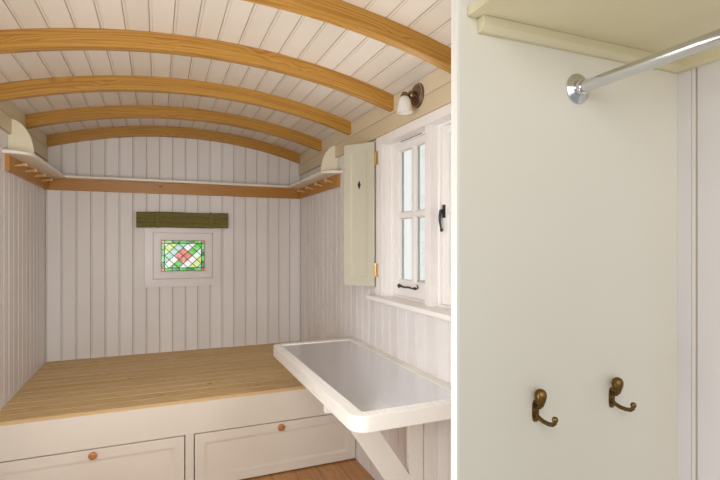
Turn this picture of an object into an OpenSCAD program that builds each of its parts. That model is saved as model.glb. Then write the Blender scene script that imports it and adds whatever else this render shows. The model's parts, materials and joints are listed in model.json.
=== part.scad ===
// Sleeping end of a timber hut: floor, lined walls, bow roof and the fixed joinery in it.
// X runs across the hut, Y towards the end wall, and Z up. The origin is the middle of the
// footprint on the ground. Inside in_room() the origin is the foot of the end wall's inner
// face, and a distance d is measured from that face towards the open end, along -Y.

/* [Room] */
// Inside width between the linings of the two side walls
room_w = 1900; // [1860:10:2000]
// Number of roof bays, from the end wall to the open end
bays = 6; // [6:1:8]
// Spacing of the roof bows
bow_pitch = 600; // [590:5:640]
// Thickness of the tongue-and-groove lining
lining_t = 12; // [9:1:16]
// Thickness of the framed and clad wall behind the lining
core_t = 88; // [80:1:120]
// Depth of the insulated floor base
base_h = 78; // [60:1:120]
// Thickness of the floor boards
board_t = 22; // [18:1:28]

/* [Roof] */
// Radius of the underside of a bow
bow_r = 3100; // [3000:20:3300]
// Height of the bows' underside over the floor, in the middle
bow_apex = 2200; // [2190:5:2260]
// Thickness of a bow along the hut
bow_t = 45; // [38:1:55]
// Depth of a bow, measured towards the roof's centre
bow_d = 75; // [60:1:85]
// Thickness of the ceiling boards on the bows
ceil_t = 12; // [9:1:16]
// Thickness of the insulated deck over the ceiling
deck_t = 60; // [40:1:80]
// Spacing of the corrugations of the roof sheet
corr_pitch = 76; // [70:1:90]
// Height of a corrugation
corr_depth = 16; // [12:1:20]
// Thickness of the roof sheet
sheet_t = 1.2; // [1:0.1:2]
// How far the roof sheet runs past the end wall
end_over = 60; // [40:5:90]
// How far the roof sheet runs past the side walls
eave = 60; // [50:5:90]
// Thickness of the frieze boards along the tops of the side walls
frieze_t = 15; // [12:1:20]
// Height of the frieze boards at the wall
frieze_h = 176.5; // [170:0.5:180]

/* [Shelves] */
// Height of the friezes' lower edge over the shelves' top
shelf_drop = 103; // [95:1:110]
// Thickness of the shelf boards
shelf_t = 18; // [15:1:22]
// Depth of the end shelf
end_shelf_d = 90; // [80:5:110]
// Depth of the side shelves
side_shelf_d = 130; // [110:5:150]
// Length of the side shelves from the end wall
side_shelf_l = 1060; // [1020:5:1100]
// Radius of the side shelves' rounded corner
shelf_corner_r = 105; // [90:1:108]
// Height of the rails under the shelves
rail_h = 85; // [75:1:95]
// Thickness of the rails under the shelves
rail_t = 20; // [18:1:24]
// Number of pegs on each side rail
pegs = 4; // [3:1:4]
// Distance of the first peg from the end wall
peg_first = 210; // [190:5:230]
// Spacing of the pegs
peg_pitch = 230; // [220:5:240]
// Length of a peg out of its rail
peg_l = 62; // [55:1:70]
// Radius of a peg's knob
peg_r = 12; // [10:0.5:14]
// Radius of a peg's shank
peg_shank_r = 6; // [5:0.5:7]
// Thickness of the bookends
bookend_t = 18; // [15:1:22]
// Height of the bookends
bookend_h = 190; // [160:5:200]
// Depth of the bookends
bookend_w = 118; // [100:1:120]
// Distance of the bookends' near face from the end wall
bookend_d = 950; // [930:1:960]

/* [End window] */
// Sideways place of the window's middle
end_win_x = -13; // [-40:1:40]
// Width of the leaded glass
end_glass_w = 325; // [300:1:360]
// Height of the leaded glass
end_glass_h = 244; // [220:1:260]
// How far the folded blind hangs over the flat frame's top
blind_lap = 26; // [15:1:40]
// Width of the inner frame that holds the glass
end_sash_w = 60; // [45:1:62]
// Width of the flat frame on the lining
end_arch_w = 62; // [50:1:65]
// Thickness of the flat frame on the lining
arch_t = 16; // [12:1:20]
// How deep the inner frame lies behind the lining's face
end_sash_in = 14; // [8:1:20]
// Thickness of the inner frame
end_sash_t = 44; // [36:1:50]
// Thickness of the leaded glass
lead_glass_t = 6; // [4:1:8]
// Width of the folded blind
blind_w = 681; // [640:1:720]
// Height of the folded blind
blind_h = 128; // [110:1:140]
// Height of the end rail's lower edge over the folded blind
blind_drop = 142; // [130:1:160]
// Thickness of the folded blind
blind_t = 42; // [30:1:50]
// Height of the wooden batten that carries the blind
blind_batten_h = 25; // [20:1:30]
// Thickness of the wooden batten that carries the blind
blind_batten_t = 22; // [22:1:26]

/* [Side window] */
// Distance of the opening's far edge from the end wall
side_win_d = 1700; // [1690:5:1720]
// Clear width of the opening
side_win_w = 920; // [900:5:940]
// Height of the opening, over the window board
side_win_h = 838; // [830:1:860]
// Height of the friezes' lower edge over the opening's top
side_win_drop = 48; // [47:1:60]
// Thickness of the window board
sill_t = 25; // [20:1:30]
// How far the window board stands out from the wall
sill_out = 60; // [50:1:65]
// How far the window board runs past the flat frame
sill_horn = 35; // [20:1:40]
// Width of the flat frame beside the opening
side_arch_w = 75; // [70:1:80]
// Width of the flat frame over the opening
head_arch_h = 46; // [40:1:48]
// Thickness of the reveal's lining boards
reveal_t = 20; // [16:1:24]
// Width of the post between the two lights
mullion_w = 48; // [40:1:56]
// Depth of the reveal in front of the lights
reveal_d = 58; // [50:1:62]
// Width of the stop round each light
stop_w = 12; // [10:1:14]
// Depth of the stop round each light
stop_d = 14; // [10:1:16]
// Thickness of a light
light_t = 38; // [32:1:38]
// Width of a light's stiles
stile_w = 58; // [50:1:64]
// Height of a light's bottom rail
light_rail_h = 80; // [70:1:90]
// Height of a light's top rail
light_head_h = 44; // [40:1:50]
// Width of the glazing bars
bar_w = 26; // [20:1:30]
// Thickness of the window glass
glass_t = 4; // [3:0.5:6]
// Length of the stay on the left light
stay_l = 230; // [200:5:250]
// Height of the stay's bar
stay_h = 10; // [8:1:14]
// Length of the tail of the fastener on the right light
tail_l = 92; // [80:1:110]
// Width of the fastener's tail
tail_w = 14; // [10:1:18]

/* [Shutters] */
// Width of a shutter leaf
shutter_w = 213; // [200:1:218]
// Height of a shutter leaf
shutter_h = 820; // [800:1:824]
// Height of a shutter leaf's lower edge over the window board
shutter_up = 47; // [41:1:49]
// Thickness of a shutter leaf
shutter_t = 22; // [18:1:24]
// Angle between an open leaf and the wall
shutter_rest = 33; // [30:1:40]
// Height of a hinge
hinge_h = 75; // [66:3:81]
// Radius of a hinge's knuckle
knuckle_r = 5.5; // [5:0.1:6]
// Radius of a hinge's pin
hinge_pin_r = 2.4; // [2:0.1:2.8]
// Thickness of a hinge's plates
plate_t = 2; // [1.5:0.1:2.5]
// Width of the hinge plate on the flat frame
hinge_plate_w = 28; // [24:1:32]
// Distance from the pin's axis to a leaf's edge
hinge_gap = 7; // [6:0.5:8]
// Distance of the hinges from a leaf's top and bottom edges
hinge_inset = 58; // [50:1:70]

/* [Lamp] */
// Distance of the lamp from the end wall
lamp_d = 2100; // [2050:5:2150]
// Height of the ceiling at the wall over the lamp's middle
lamp_drop = 71.5; // [70:0.5:76]
// Radius of the lamp's base
lamp_base_r = 58; // [50:1:62]
// Depth of the lamp's base
lamp_base_t = 22; // [18:1:28]
// Reach of the lamp's arm from its base
lamp_arm_l = 72; // [60:1:85]
// Radius of the lamp's arm
lamp_arm_r = 7; // [6:0.5:9]
// Radius of the shade at its rim
shade_r = 40; // [36:1:50]
// Radius of the shade at its neck
shade_neck_r = 19; // [17:1:26]
// Height of the shade
shade_h = 76; // [68:1:90]
// Thickness of the shade's glass
shade_t = 3; // [2.5:0.1:4]

/* [Table] */
// Height of the table's top over the floor
table_z = 760; // [740:1:770]
// Thickness of the leaf
leaf_t = 58; // [50:1:62]
// Reach of the leaf from the wall
leaf_w = 530; // [515:5:540]
// Distance of the leaf's far end from the end wall
leaf_d = 1255; // [1240:5:1340]
// Length of the leaf
leaf_l = 1310; // [1200:5:1330]
// Radius of the leaf's front corners
leaf_corner_r = 62; // [60:1:90]
// Width of the wooden rim round the steel inlay
leaf_rim = 50; // [48:1:58]
// Thickness of the steel inlay
steel_t = 1.5; // [1:0.1:3]
// How far the inlay lies below the rim
steel_in = 3; // [2:0.1:4]
// Distance of the bracket's middle from the end wall
bracket_d = 2190; // [2100:5:2220]
// Thickness of the bracket's boards
bracket_t = 30; // [24:1:32]
// Width of the bracket's post
bracket_post_w = 67; // [60:1:72]
// Height of the bracket's top rail
bracket_rail_h = 45; // [40:1:50]
// Width of the bracket's brace
brace_w = 100; // [90:1:110]
// Height of the brace's lower corner over the bracket's foot
brace_up = 27; // [20:1:40]
// Height of the bracket's foot over the floor
bracket_z = 120; // [110:5:200]
// Reach of the bracket's top rail
bracket_l = 460; // [380:5:470]
// Width and depth of the wall batten
batten_w = 45; // [40:1:50]
// Gap between the wall batten and the bracket
batten_gap = 5; // [5:0.5:6]
// Running gap between the bracket and the leaf
bracket_run = 0.5; // [0.3:0.1:0.9]
// Height of the ledger under the leaf at the wall
ledger_h = 40; // [30:1:45]
// Depth of the ledger under the leaf at the wall
ledger_t = 28; // [22:1:32]

/* [Bed] */
// Distance of the bed's front from the end wall
bed_d = 1293; // [1270:1:1300]
// Height of the bed deck's top over the floor
bed_z = 500; // [480:5:540]
// Thickness of the bed deck
bed_deck_t = 18; // [15:1:22]
// Thickness of the bed's front boards
bed_front_t = 24; // [20:1:26]
// Height of the drawer fronts' top over the floor
drawer_top = 303; // [290:1:310]
// Height of the drawer fronts' lower edge over the floor
drawer_foot = 8; // [6:1:10]
// Gap round the drawer fronts
drawer_gap = 5; // [5:0.5:6]
// Sideways place of the post between the drawers
bed_split_x = -40; // [-60:5:60]
// Width of the post between the drawers
bed_post_w = 44; // [40:1:60]
// Thickness of the panel between the drawers
divider_t = 18; // [15:1:22]
// Section of the bearers under the deck
bearer = 45; // [38:1:50]
// Length of a drawer, back from its front
drawer_l = 900; // [800:10:1000]
// Height of a drawer's sides
drawer_side_h = 190; // [160:5:210]
// Thickness of a drawer's sides
drawer_side_t = 15; // [12:1:18]
// Thickness of a drawer's bottom
drawer_bottom_t = 9; // [6:1:12]
// How far a drawer's sides stand in from its front's ends
drawer_inset = 14; // [12:1:20]
// Height of the runners on the floor
runner_h = 22; // [18:1:26]
// Width of the runners on the floor
runner_w = 34; // [30:1:40]
// Running gap between a drawer and its runners
runner_gap = 0.5; // [0.3:0.1:0.9]
// Radius of a drawer knob
knob_r = 20; // [17:0.5:23]
// Length of a drawer knob
knob_l = 30; // [26:1:34]
// Distance of a knob's middle below its front's top
knob_drop = 24; // [22:1:30]

/* [Wardrobe] */
// Length of the wardrobe, from its panel to the open end
robe_l = 324; // [300:1:400]
// Thickness of the panel
panel_t = 18; // [15:1:22]
// Sideways place of the panel's free edge
panel_x = 323; // [310:1:340]
// Height of the friezes' lower edge over the shelf's underside
robe_shelf_drop = 159; // [150:1:175]
// Thickness of the shelf
robe_shelf_t = 18; // [15:1:22]
// Sideways place of the shelf's free edge
robe_shelf_x = 345; // [342:1:350]
// Height of the battens under the shelf
robe_batten_h = 28; // [24:1:45]
// Thickness of the battens under the shelf
robe_batten_t = 20; // [18:1:24]
// Distance of the panel batten's end in from the shelf's edge
robe_batten_in = 24; // [16:1:32]
// Sideways place of the hanging rail
rail_x = 627; // [600:1:650]
// Height of the shelf's underside over the hanging rail's middle
hang_drop = 104; // [90:1:120]
// Radius of the hanging rail
hang_r = 12.5; // [11:0.5:15]
// Thickness of the hanging rail's tube
hang_wall = 1.5; // [1.2:0.1:2]
// Radius of the hanging rail's flange
flange_r = 32; // [28:1:34]
// Thickness of the hanging rail's flange
flange_t = 9; // [7:1:12]
// Sideways place of the first coat hook
hook_x = 512; // [500:1:560]
// Spacing of the coat hooks
hook_pitch = 217; // [200:1:230]
// Height of the coat hooks' middle over the floor
hook_z = 1018; // [1000:1:1040]
// Radius of a coat hook's prongs
hook_r = 4.5; // [4:0.1:5]
// Reach of a coat hook's prong
hook_reach = 54; // [44:1:62]
// Height of the turned-up end of a coat hook's prong
hook_rise = 14; // [10:1:20]
// Radius of the ball on a coat hook's prong
hook_ball_r = 6; // [5:0.5:8]
// Radius of a coat hook's acorn
acorn_r = 12; // [10:0.5:14]
// Height of a coat hook's acorn
acorn_h = 38; // [30:1:40]
// Width of a coat hook's back plate
hook_plate_w = 16; // [14:1:24]
// Height of a coat hook's back plate
hook_plate_h = 44; // [38:1:56]

/* [Hidden] */

// Overall places, from the driving dimensions
half_w = room_w / 2;
lining_x = half_w + lining_t;
wall_x = lining_x + core_t;
room_l = bays * bow_pitch + bow_t;
end_out = lining_t + core_t;
half_l = (room_l + end_out + end_over) / 2;
end_y = half_l - end_over - end_out;
floor_top = base_h + board_t;
roof_cz = bow_apex - bow_r;
ceil_r = bow_r + bow_d;
ceil_z = roof_cz + sqrt(ceil_r * ceil_r - half_w * half_w);
deck_r = ceil_r + ceil_t;
sheet_clear = 0.3;
sheet_r = deck_r + deck_t + sheet_clear;
sheet_top_r = sheet_r + corr_depth + sheet_t;
sheet_angle = asin((wall_x + eave) / sheet_top_r);
waves = floor((room_l + end_out + end_over) / corr_pitch);
wave_steps = 6;
tall = bow_apex + bow_d + ceil_t + deck_t;
arc_fn = 360;

// Heights that hang from the friezes' lower edge
frieze_z = ceil_z - frieze_h;
shelf_z = frieze_z - shelf_drop;
rail_z = shelf_z - shelf_t - rail_h;
blind_z = rail_z - blind_drop - blind_h;
end_glass_z = blind_z + blind_lap - end_arch_w - end_sash_w - end_glass_h;
side_win_top = frieze_z - side_win_drop;
sill_z = side_win_top - side_win_h;
shutter_z = sill_z + shutter_up;
lamp_z = ceil_z - lamp_drop;
robe_shelf_z = frieze_z - robe_shelf_drop;
hang_z = robe_shelf_z - hang_drop;

// Window places
end_hole_w = end_glass_w + 2 * end_sash_w;
end_hole_h = end_glass_h + 2 * end_sash_w;
end_hole_z = end_glass_z - end_sash_w;
side_win_mid = side_win_d + side_win_w / 2;
light_w = (side_win_w - mullion_w) / 2;
light_z = sill_z + stop_w;
light_h = side_win_top - light_z;
light_x = half_w + reveal_d;
outer_sill = 30;
blind_clear = 0.3;
blind_batten_in = 10;
blind_batten_drop = 3;
iron_t = 5;
iron_out = 8;
lug = 16;
boss_r = 11;

// Shutter places: the pins stand just clear of the flat frame's face
pin_clear = 0.5;
pin_x = half_w - arch_t - knuckle_r - pin_clear;
pin_in = 3;
left_pin_d = side_win_d - side_arch_w + pin_in;
right_pin_d = side_win_d + side_win_w + side_arch_w - pin_in;
leaf_clear = 1;
knuckle_gap = 1;
bore_clear = 0.3;
panel_sink = 5;
shutter_frame_w = 48;

// Table and bed places
bracket_pin_x = half_w - batten_w - batten_gap / 2;
bracket_pin_d = bracket_d + batten_w / 2 + knuckle_r;
bracket_top = table_z - leaf_t - bracket_run;
bed_front_top = bed_z - bed_deck_t;
post_low = bed_split_x - bed_post_w / 2;
post_high = bed_split_x + bed_post_w / 2;
front_rail = 52;
front_sink = 6;
panel_d = room_l - robe_l;

// A box between two sideways places, two distances from the end wall and two heights
module slab(x0, x1, d0, d1, z0, z1) {
    translate([x0, -d1, z0])
        cube([x1 - x0, d1 - d0, z1 - z0]);
}

// Moves a piece to the foot of the end wall's inner face
module in_room() {
    translate([0, end_y, floor_top])
        children();
}

// Draws a cross-section of the hut out between two distances from the end wall
module across(d0, d1) {
    translate([0, -d0, 0])
        rotate([90, 0, 0])
            linear_extrude(height = d1 - d0)
                children();
}

// Cross-section under an arc of the roof
module under_arc(r) {
    translate([0, roof_cz])
        circle(r = r, $fn = arc_fn);
}

// Cross-section of a curved roof layer, cut plumb at both sides
module roof_band(r, t, half) {
    intersection() {
        difference() {
            under_arc(r + t);
            under_arc(r);
        }
        translate([-half, 0])
            square([2 * half, tall]);
    }
}

// Cross-section of an upright strip of wall, under an arc of the roof
module wall_strip(x0, x1, z0, r) {
    intersection() {
        under_arc(r);
        translate([x0, z0])
            square([x1 - x0, tall - z0]);
    }
}

module end_window_hole(d0, d1) {
    slab(end_win_x - end_hole_w / 2, end_win_x + end_hole_w / 2, d0, d1,
        end_hole_z, end_hole_z + end_hole_h);
}

module side_window_hole(x0, x1) {
    slab(x0, x1, side_win_d - reveal_t, side_win_d + side_win_w + reveal_t,
        sill_z - sill_t, side_win_top + reveal_t);
}

module floor_base() {
    color("dimgray")
        in_room()
            slab(-wall_x, wall_x, -end_out, room_l, -floor_top, -board_t);
}

module floor_boards() {
    color("sienna")
        in_room()
            slab(-lining_x, lining_x, -lining_t, room_l, -board_t, 0);
}

module end_wall() {
    color("ivory")
        in_room()
            difference() {
                across(-end_out, -lining_t)
                    wall_strip(-wall_x, wall_x, -board_t, deck_r);
                end_window_hole(-end_out - 1, 0);
            }
}

module left_wall() {
    color("ivory")
        in_room()
            across(-lining_t, room_l)
                wall_strip(-wall_x, -lining_x, -board_t, deck_r);
}

module right_wall() {
    color("ivory")
        in_room()
            difference() {
                across(-lining_t, room_l)
                    wall_strip(lining_x, wall_x, -board_t, deck_r);
                side_window_hole(half_w, wall_x + 1);
            }
}

module end_lining() {
    color("floralwhite")
        in_room()
            difference() {
                across(-lining_t, 0)
                    wall_strip(-half_w, half_w, 0, ceil_r);
                end_window_hole(-end_out, 1);
            }
}

module left_lining() {
    color("floralwhite")
        in_room()
            across(-lining_t, room_l)
                wall_strip(-lining_x, -half_w, 0, ceil_r);
}

module right_lining() {
    color("floralwhite")
        in_room()
            difference() {
                across(-lining_t, room_l)
                    wall_strip(half_w, lining_x, 0, ceil_r);
                side_window_hole(half_w - 1, wall_x);
            }
}

module ceiling_boards() {
    color("floralwhite")
        in_room()
            across(-lining_t, room_l)
                roof_band(ceil_r, ceil_t, lining_x);
}

module roof_deck() {
    color("burlywood")
        in_room()
            across(-end_out, room_l)
                roof_band(deck_r, deck_t, wall_x);
}

// Corrugated sheet, its waves running over the roof from eave to eave
module roof_sheet() {
    n = waves * wave_steps;
    sheet_l = room_l + end_out + end_over;
    rise = [for (i = [0 : n]) corr_depth / 2 * (1 - cos(360 * i / wave_steps))];
    under = [for (i = [0 : n]) [sheet_r + rise[i], sheet_l * i / n]];
    over = [for (i = [n : -1 : 0]) [sheet_r + rise[i] + sheet_t, sheet_l * i / n]];
    color("darkslategray")
        in_room()
            translate([0, end_out + end_over, roof_cz])
                rotate([90, 0, 0])
                    rotate([0, 0, 90 - sheet_angle])
                        rotate_extrude(angle = 2 * sheet_angle, $fn = arc_fn)
                            polygon(concat(under, over));
}

module friezes() {
    color("wheat")
        in_room()
            for (s = [-1, 1])
                mirror([s < 0 ? 1 : 0, 0, 0])
                    across(0, room_l)
                        wall_strip(half_w - frieze_t, half_w, frieze_z, ceil_r);
}

module bow(i) {
    color("goldenrod")
        in_room()
            across(i * bow_pitch, i * bow_pitch + bow_t)
                roof_band(bow_r, bow_d, half_w - frieze_t);
}

module end_shelf() {
    color("linen")
        in_room()
            slab(-half_w, half_w, 0, end_shelf_d, shelf_z - shelf_t, shelf_z);
}

// A side shelf from the end shelf forward, with its near corner rounded; s is its side
module side_shelf(s) {
    straight = side_shelf_l - shelf_corner_r;
    color("linen")
        in_room()
            mirror([s < 0 ? 1 : 0, 0, 0])
                translate([half_w - side_shelf_d, 0, shelf_z - shelf_t])
                    linear_extrude(height = shelf_t) {
                        translate([0, -straight])
                            square([side_shelf_d, straight - end_shelf_d]);
                        translate([shelf_corner_r, -side_shelf_l])
                            square([side_shelf_d - shelf_corner_r, shelf_corner_r]);
                        intersection() {
                            translate([shelf_corner_r, -straight])
                                circle(r = shelf_corner_r, $fn = 96);
                            translate([0, -side_shelf_l])
                                square([shelf_corner_r, shelf_corner_r]);
                        }
                    }
}

module end_shelf_rail() {
    color("peru")
        in_room()
            slab(-half_w + rail_t, half_w - rail_t, 0, rail_t, rail_z, rail_z + rail_h);
}

// A side rail under its shelf, with turned pegs; s is its side
module peg_rail(s) {
    color("peru")
        in_room()
            mirror([s < 0 ? 1 : 0, 0, 0]) {
                slab(half_w - rail_t, half_w, 0, side_shelf_l - shelf_corner_r / 2, rail_z, rail_z + rail_h);
                for (i = [0 : pegs - 1])
                    translate([half_w - rail_t, -(peg_first + i * peg_pitch), rail_z + rail_h / 2])
                        rotate([0, -80, 0])
                            peg();
            }
}

// A turned peg along Z, its foot sunk into the rail
module peg() {
    sink = peg_shank_r;
    rotate_extrude($fn = 32)
        polygon([[0, -sink], [peg_shank_r, -sink], [peg_shank_r, peg_l * 0.6],
            [peg_r, peg_l * 0.85], [peg_r, peg_l * 0.94], [peg_r * 0.6, peg_l], [0, peg_l]]);
}

// Curved upright ends standing on the two side shelves
module bookends() {
    color("lemonchiffon")
        in_room()
            for (s = [-1, 1])
                mirror([s < 0 ? 1 : 0, 0, 0])
                    across(bookend_d - bookend_t, bookend_d)
                        difference() {
                            bookend_outline();
                            translate([half_w - frieze_t, frieze_z])
                                square([frieze_t + 1, bookend_h]);
                        }
}

// A quarter of an ellipse, tall at the wall and low at the shelf's front
module bookend_outline() {
    steps = 16;
    translate([half_w, shelf_z])
        polygon(concat([[0, 0]], [for (i = [0 : steps])
            [-bookend_w * cos(90 * i / steps), bookend_h * sin(90 * i / steps)]]));
}

module end_window_frame() {
    hx = end_hole_w / 2;
    hz = end_hole_h / 2;
    color("white")
        in_room()
            translate([end_win_x, 0, end_hole_z + hz]) {
                difference() {
                    slab(-hx - end_arch_w, hx + end_arch_w, 0, arch_t, -hz - end_arch_w, hz + end_arch_w);
                    slab(-hx, hx, -1, arch_t + 1, -hz, hz);
                }
                difference() {
                    slab(-hx, hx, -end_sash_in - end_sash_t, -end_sash_in, -hz, hz);
                    slab(-end_glass_w / 2, end_glass_w / 2, -end_out, 0, -end_glass_h / 2, end_glass_h / 2);
                }
                slab(-hx, hx, -end_out - outer_sill, -end_sash_in - end_sash_t, -hz, -hz + sill_t);
            }
}

module end_window_glass() {
    color("palegreen")
        in_room()
            translate([end_win_x, 0, end_glass_z])
                slab(-end_glass_w / 2, end_glass_w / 2, -end_sash_in - (end_sash_t + lead_glass_t) / 2,
                    -end_sash_in - (end_sash_t - lead_glass_t) / 2, 0, end_glass_h);
}

module window_blind() {
    front = blind_batten_t + blind_clear;
    color("darkolivegreen")
        in_room()
            slab(end_win_x - blind_w / 2, end_win_x + blind_w / 2, front, front + blind_t,
                blind_z, blind_z + blind_h);
}

module blind_batten() {
    top = blind_z + blind_h - blind_batten_drop;
    half = blind_w / 2 - blind_batten_in;
    color("burlywood")
        in_room()
            slab(end_win_x - half, end_win_x + half, 0, blind_batten_t, top - blind_batten_h, top);
}

// Reveal boards, stops, post and outer sill of the side window
module side_window_frame() {
    d0 = side_win_d;
    d1 = side_win_d + side_win_w;
    color("white")
        in_room() {
            difference() {
                slab(half_w, wall_x, d0 - reveal_t, d1 + reveal_t, sill_z, side_win_top + reveal_t);
                slab(half_w - 1, wall_x + 1, d0, d1, sill_z - 1, side_win_top);
            }
            slab(half_w, wall_x, side_win_mid - mullion_w / 2, side_win_mid + mullion_w / 2,
                sill_z, side_win_top);
            for (d = [d0, side_win_mid + mullion_w / 2])
                difference() {
                    slab(light_x - stop_d, light_x, d, d + light_w, sill_z, side_win_top);
                    slab(light_x - stop_d - 1, light_x + 1, d + stop_w, d + light_w - stop_w,
                        sill_z + stop_w, side_win_top - stop_w);
                }
            slab(light_x - stop_d, wall_x, d0, d1, sill_z, light_z);
            slab(light_x, wall_x + outer_sill, d0 - reveal_t, d1 + reveal_t, sill_z - sill_t, sill_z);
        }
}

module side_window_architrave() {
    d0 = side_win_d;
    d1 = side_win_d + side_win_w;
    color("white")
        in_room()
            difference() {
                slab(half_w - arch_t, half_w, d0 - side_arch_w, d1 + side_arch_w,
                    sill_z, side_win_top + head_arch_h);
                slab(half_w - arch_t - 1, half_w + 1, d0, d1, sill_z - 1, side_win_top);
            }
}

module window_board() {
    d0 = side_win_d;
    d1 = side_win_d + side_win_w;
    color("white")
        in_room() {
            slab(half_w, light_x, d0 - reveal_t, d1 + reveal_t, sill_z - sill_t, sill_z);
            slab(half_w - sill_out, half_w, d0 - side_arch_w - sill_horn, d1 + side_arch_w + sill_horn,
                sill_z - sill_t, sill_z);
        }
}

// The four panes of a light whose far edge is at distance d, from x0 to x1
module panes(d, x0, x1) {
    pane_w = (light_w - 2 * stile_w - bar_w) / 2;
    pane_h = (light_h - light_rail_h - light_head_h - bar_w) / 2;
    for (i = [0, 1])
        for (k = [0, 1])
            translate([0, -i * (pane_w + bar_w), k * (pane_h + bar_w)])
                slab(x0, x1, d + stile_w, d + stile_w + pane_w,
                    light_z + light_rail_h, light_z + light_rail_h + pane_h);
}

module casement(d) {
    color("white")
        in_room()
            difference() {
                slab(light_x, light_x + light_t, d, d + light_w, light_z, light_z + light_h);
                panes(d, light_x - 1, light_x + light_t + 1);
            }
}

module casement_glass() {
    mid = light_x + light_t / 2;
    color("lightcyan")
        in_room()
            for (d = [side_win_d, side_win_mid + mullion_w / 2])
                panes(d, mid - glass_t / 2, mid + glass_t / 2);
}

// Stay on the left light's bottom rail, fastener on the right light's stile
module casement_ironmongery() {
    stay_d = side_win_d + stop_w + stile_w;
    stay_z = light_z + light_rail_h / 2 + stay_h;
    fast_d = side_win_mid + mullion_w / 2 + stop_w + lug;
    fast_z = light_z + light_h / 2 + tail_w;
    color("black")
        in_room() {
            slab(light_x - iron_out - iron_t, light_x - iron_out, stay_d, stay_d + stay_l,
                stay_z - stay_h / 2, stay_z + stay_h / 2);
            for (d = [stay_d + lug, stay_d + stay_l - 3 * lug])
                slab(light_x - iron_out, light_x, d, d + lug, stay_z - lug / 2, stay_z + lug / 2);
            translate([light_x - iron_out, -stay_d, stay_z])
                rotate([0, -90, 0])
                    cylinder(r = boss_r, h = iron_out, $fn = 32);
            slab(light_x - iron_t, light_x, fast_d - boss_r, fast_d + boss_r,
                fast_z - 2 * lug, fast_z + 2 * lug);
            translate([light_x, -fast_d, fast_z])
                rotate([0, -90, 0])
                    cylinder(r = tail_w / 2, h = 2 * iron_out, $fn = 32);
            slab(light_x - 3 * iron_out, light_x - 2 * iron_out, fast_d - tail_w / 2, fast_d + tail_w / 2,
                fast_z - tail_l, fast_z + tail_w / 2);
            translate([light_x - 3 * iron_out, -fast_d, fast_z - tail_l])
                rotate([0, 90, 0])
                    cylinder(r = boss_r, h = iron_out, $fn = 32);
        }
}

// Moves a piece drawn along +X from the pin to the open leaf of side s, -1 for the left one
module at_leaf(s) {
    in_room()
        translate([pin_x, -(s < 0 ? left_pin_d : right_pin_d), 0])
            mirror([0, s > 0 ? 1 : 0, 0])
                rotate([0, 0, 90 + shutter_rest])
                    children();
}

// Runs its children at the foot of each hinge of a leaf
module at_hinges() {
    for (z = [shutter_z + hinge_inset, shutter_z + shutter_h - hinge_inset - hinge_h])
        translate([0, 0, z])
            children();
}

module shutter(s) {
    x0 = hinge_gap;
    color("beige")
        at_leaf(s)
            difference() {
                translate([x0, -leaf_clear - shutter_t, shutter_z])
                    cube([shutter_w, shutter_t, shutter_h]);
                for (y = [-leaf_clear - panel_sink, -leaf_clear - shutter_t - 1])
                    translate([x0 + shutter_frame_w, y, shutter_z + shutter_frame_w])
                        cube([shutter_w - 2 * shutter_frame_w, panel_sink + 1,
                            shutter_h - 2 * shutter_frame_w]);
            }
}

// The moving halves of a leaf's hinges: the middle knuckle and the plate on the leaf's edge
module shutter_hinges(s) {
    third = hinge_h / 3;
    color("gold")
        at_leaf(s)
            at_hinges() {
                difference() {
                    union() {
                        translate([0, 0, third + knuckle_gap])
                            cylinder(r = knuckle_r, h = third - 2 * knuckle_gap, $fn = 40);
                        translate([0, -knuckle_r, third + knuckle_gap])
                            cube([hinge_gap, plate_t, third - 2 * knuckle_gap]);
                    }
                    translate([0, 0, third])
                        cylinder(r = hinge_pin_r + bore_clear, h = third, $fn = 40);
                }
                translate([hinge_gap - plate_t, -leaf_clear - shutter_t, 0])
                    cube([plate_t, shutter_t - knuckle_r + leaf_clear + plate_t, hinge_h]);
            }
}

// The fixed halves of the four hinges, with their pins
module shutter_hinge_plates() {
    third = hinge_h / 3;
    color("gold")
        in_room()
            for (s = [-1, 1])
                translate([pin_x, -(s < 0 ? left_pin_d : right_pin_d), 0])
                    at_hinges() {
                        cylinder(r = knuckle_r, h = third, $fn = 40);
                        translate([0, 0, 2 * third])
                            cylinder(r = knuckle_r, h = third, $fn = 40);
                        cylinder(r = hinge_pin_r, h = hinge_h, $fn = 40);
                        mirror([0, s > 0 ? 1 : 0, 0])
                            for (z = [0, 2 * third])
                                translate([knuckle_r + pin_clear - plate_t, -hinge_plate_w, z])
                                    cube([plate_t, hinge_plate_w, third]);
                        mirror([0, s > 0 ? 1 : 0, 0])
                            translate([knuckle_r + pin_clear - plate_t, -hinge_plate_w, 0])
                                cube([plate_t, hinge_plate_w - knuckle_r - knuckle_gap, hinge_h]);
                    }
}

// Round base on the frieze, arm and neck that hold the shade
module lamp_mount() {
    color("rosybrown")
        in_room()
            translate([half_w - frieze_t, -lamp_d, lamp_z]) {
                rotate([0, -90, 0]) {
                    rotate_extrude($fn = 64)
                        polygon([[0, 0], [lamp_base_r, 0], [lamp_base_r, lamp_base_t * 0.3],
                            [lamp_base_r * 0.8, lamp_base_t * 0.75], [lamp_base_r * 0.4, lamp_base_t],
                            [0, lamp_base_t]]);
                    cylinder(r = lamp_arm_r, h = lamp_arm_l + lamp_arm_r, $fn = 32);
                }
                translate([-lamp_arm_l, 0, -shade_neck_r * 0.6])
                    cylinder(r1 = shade_neck_r, r2 = lamp_arm_r * 1.6, h = shade_neck_r, $fn = 48);
            }
}

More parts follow.
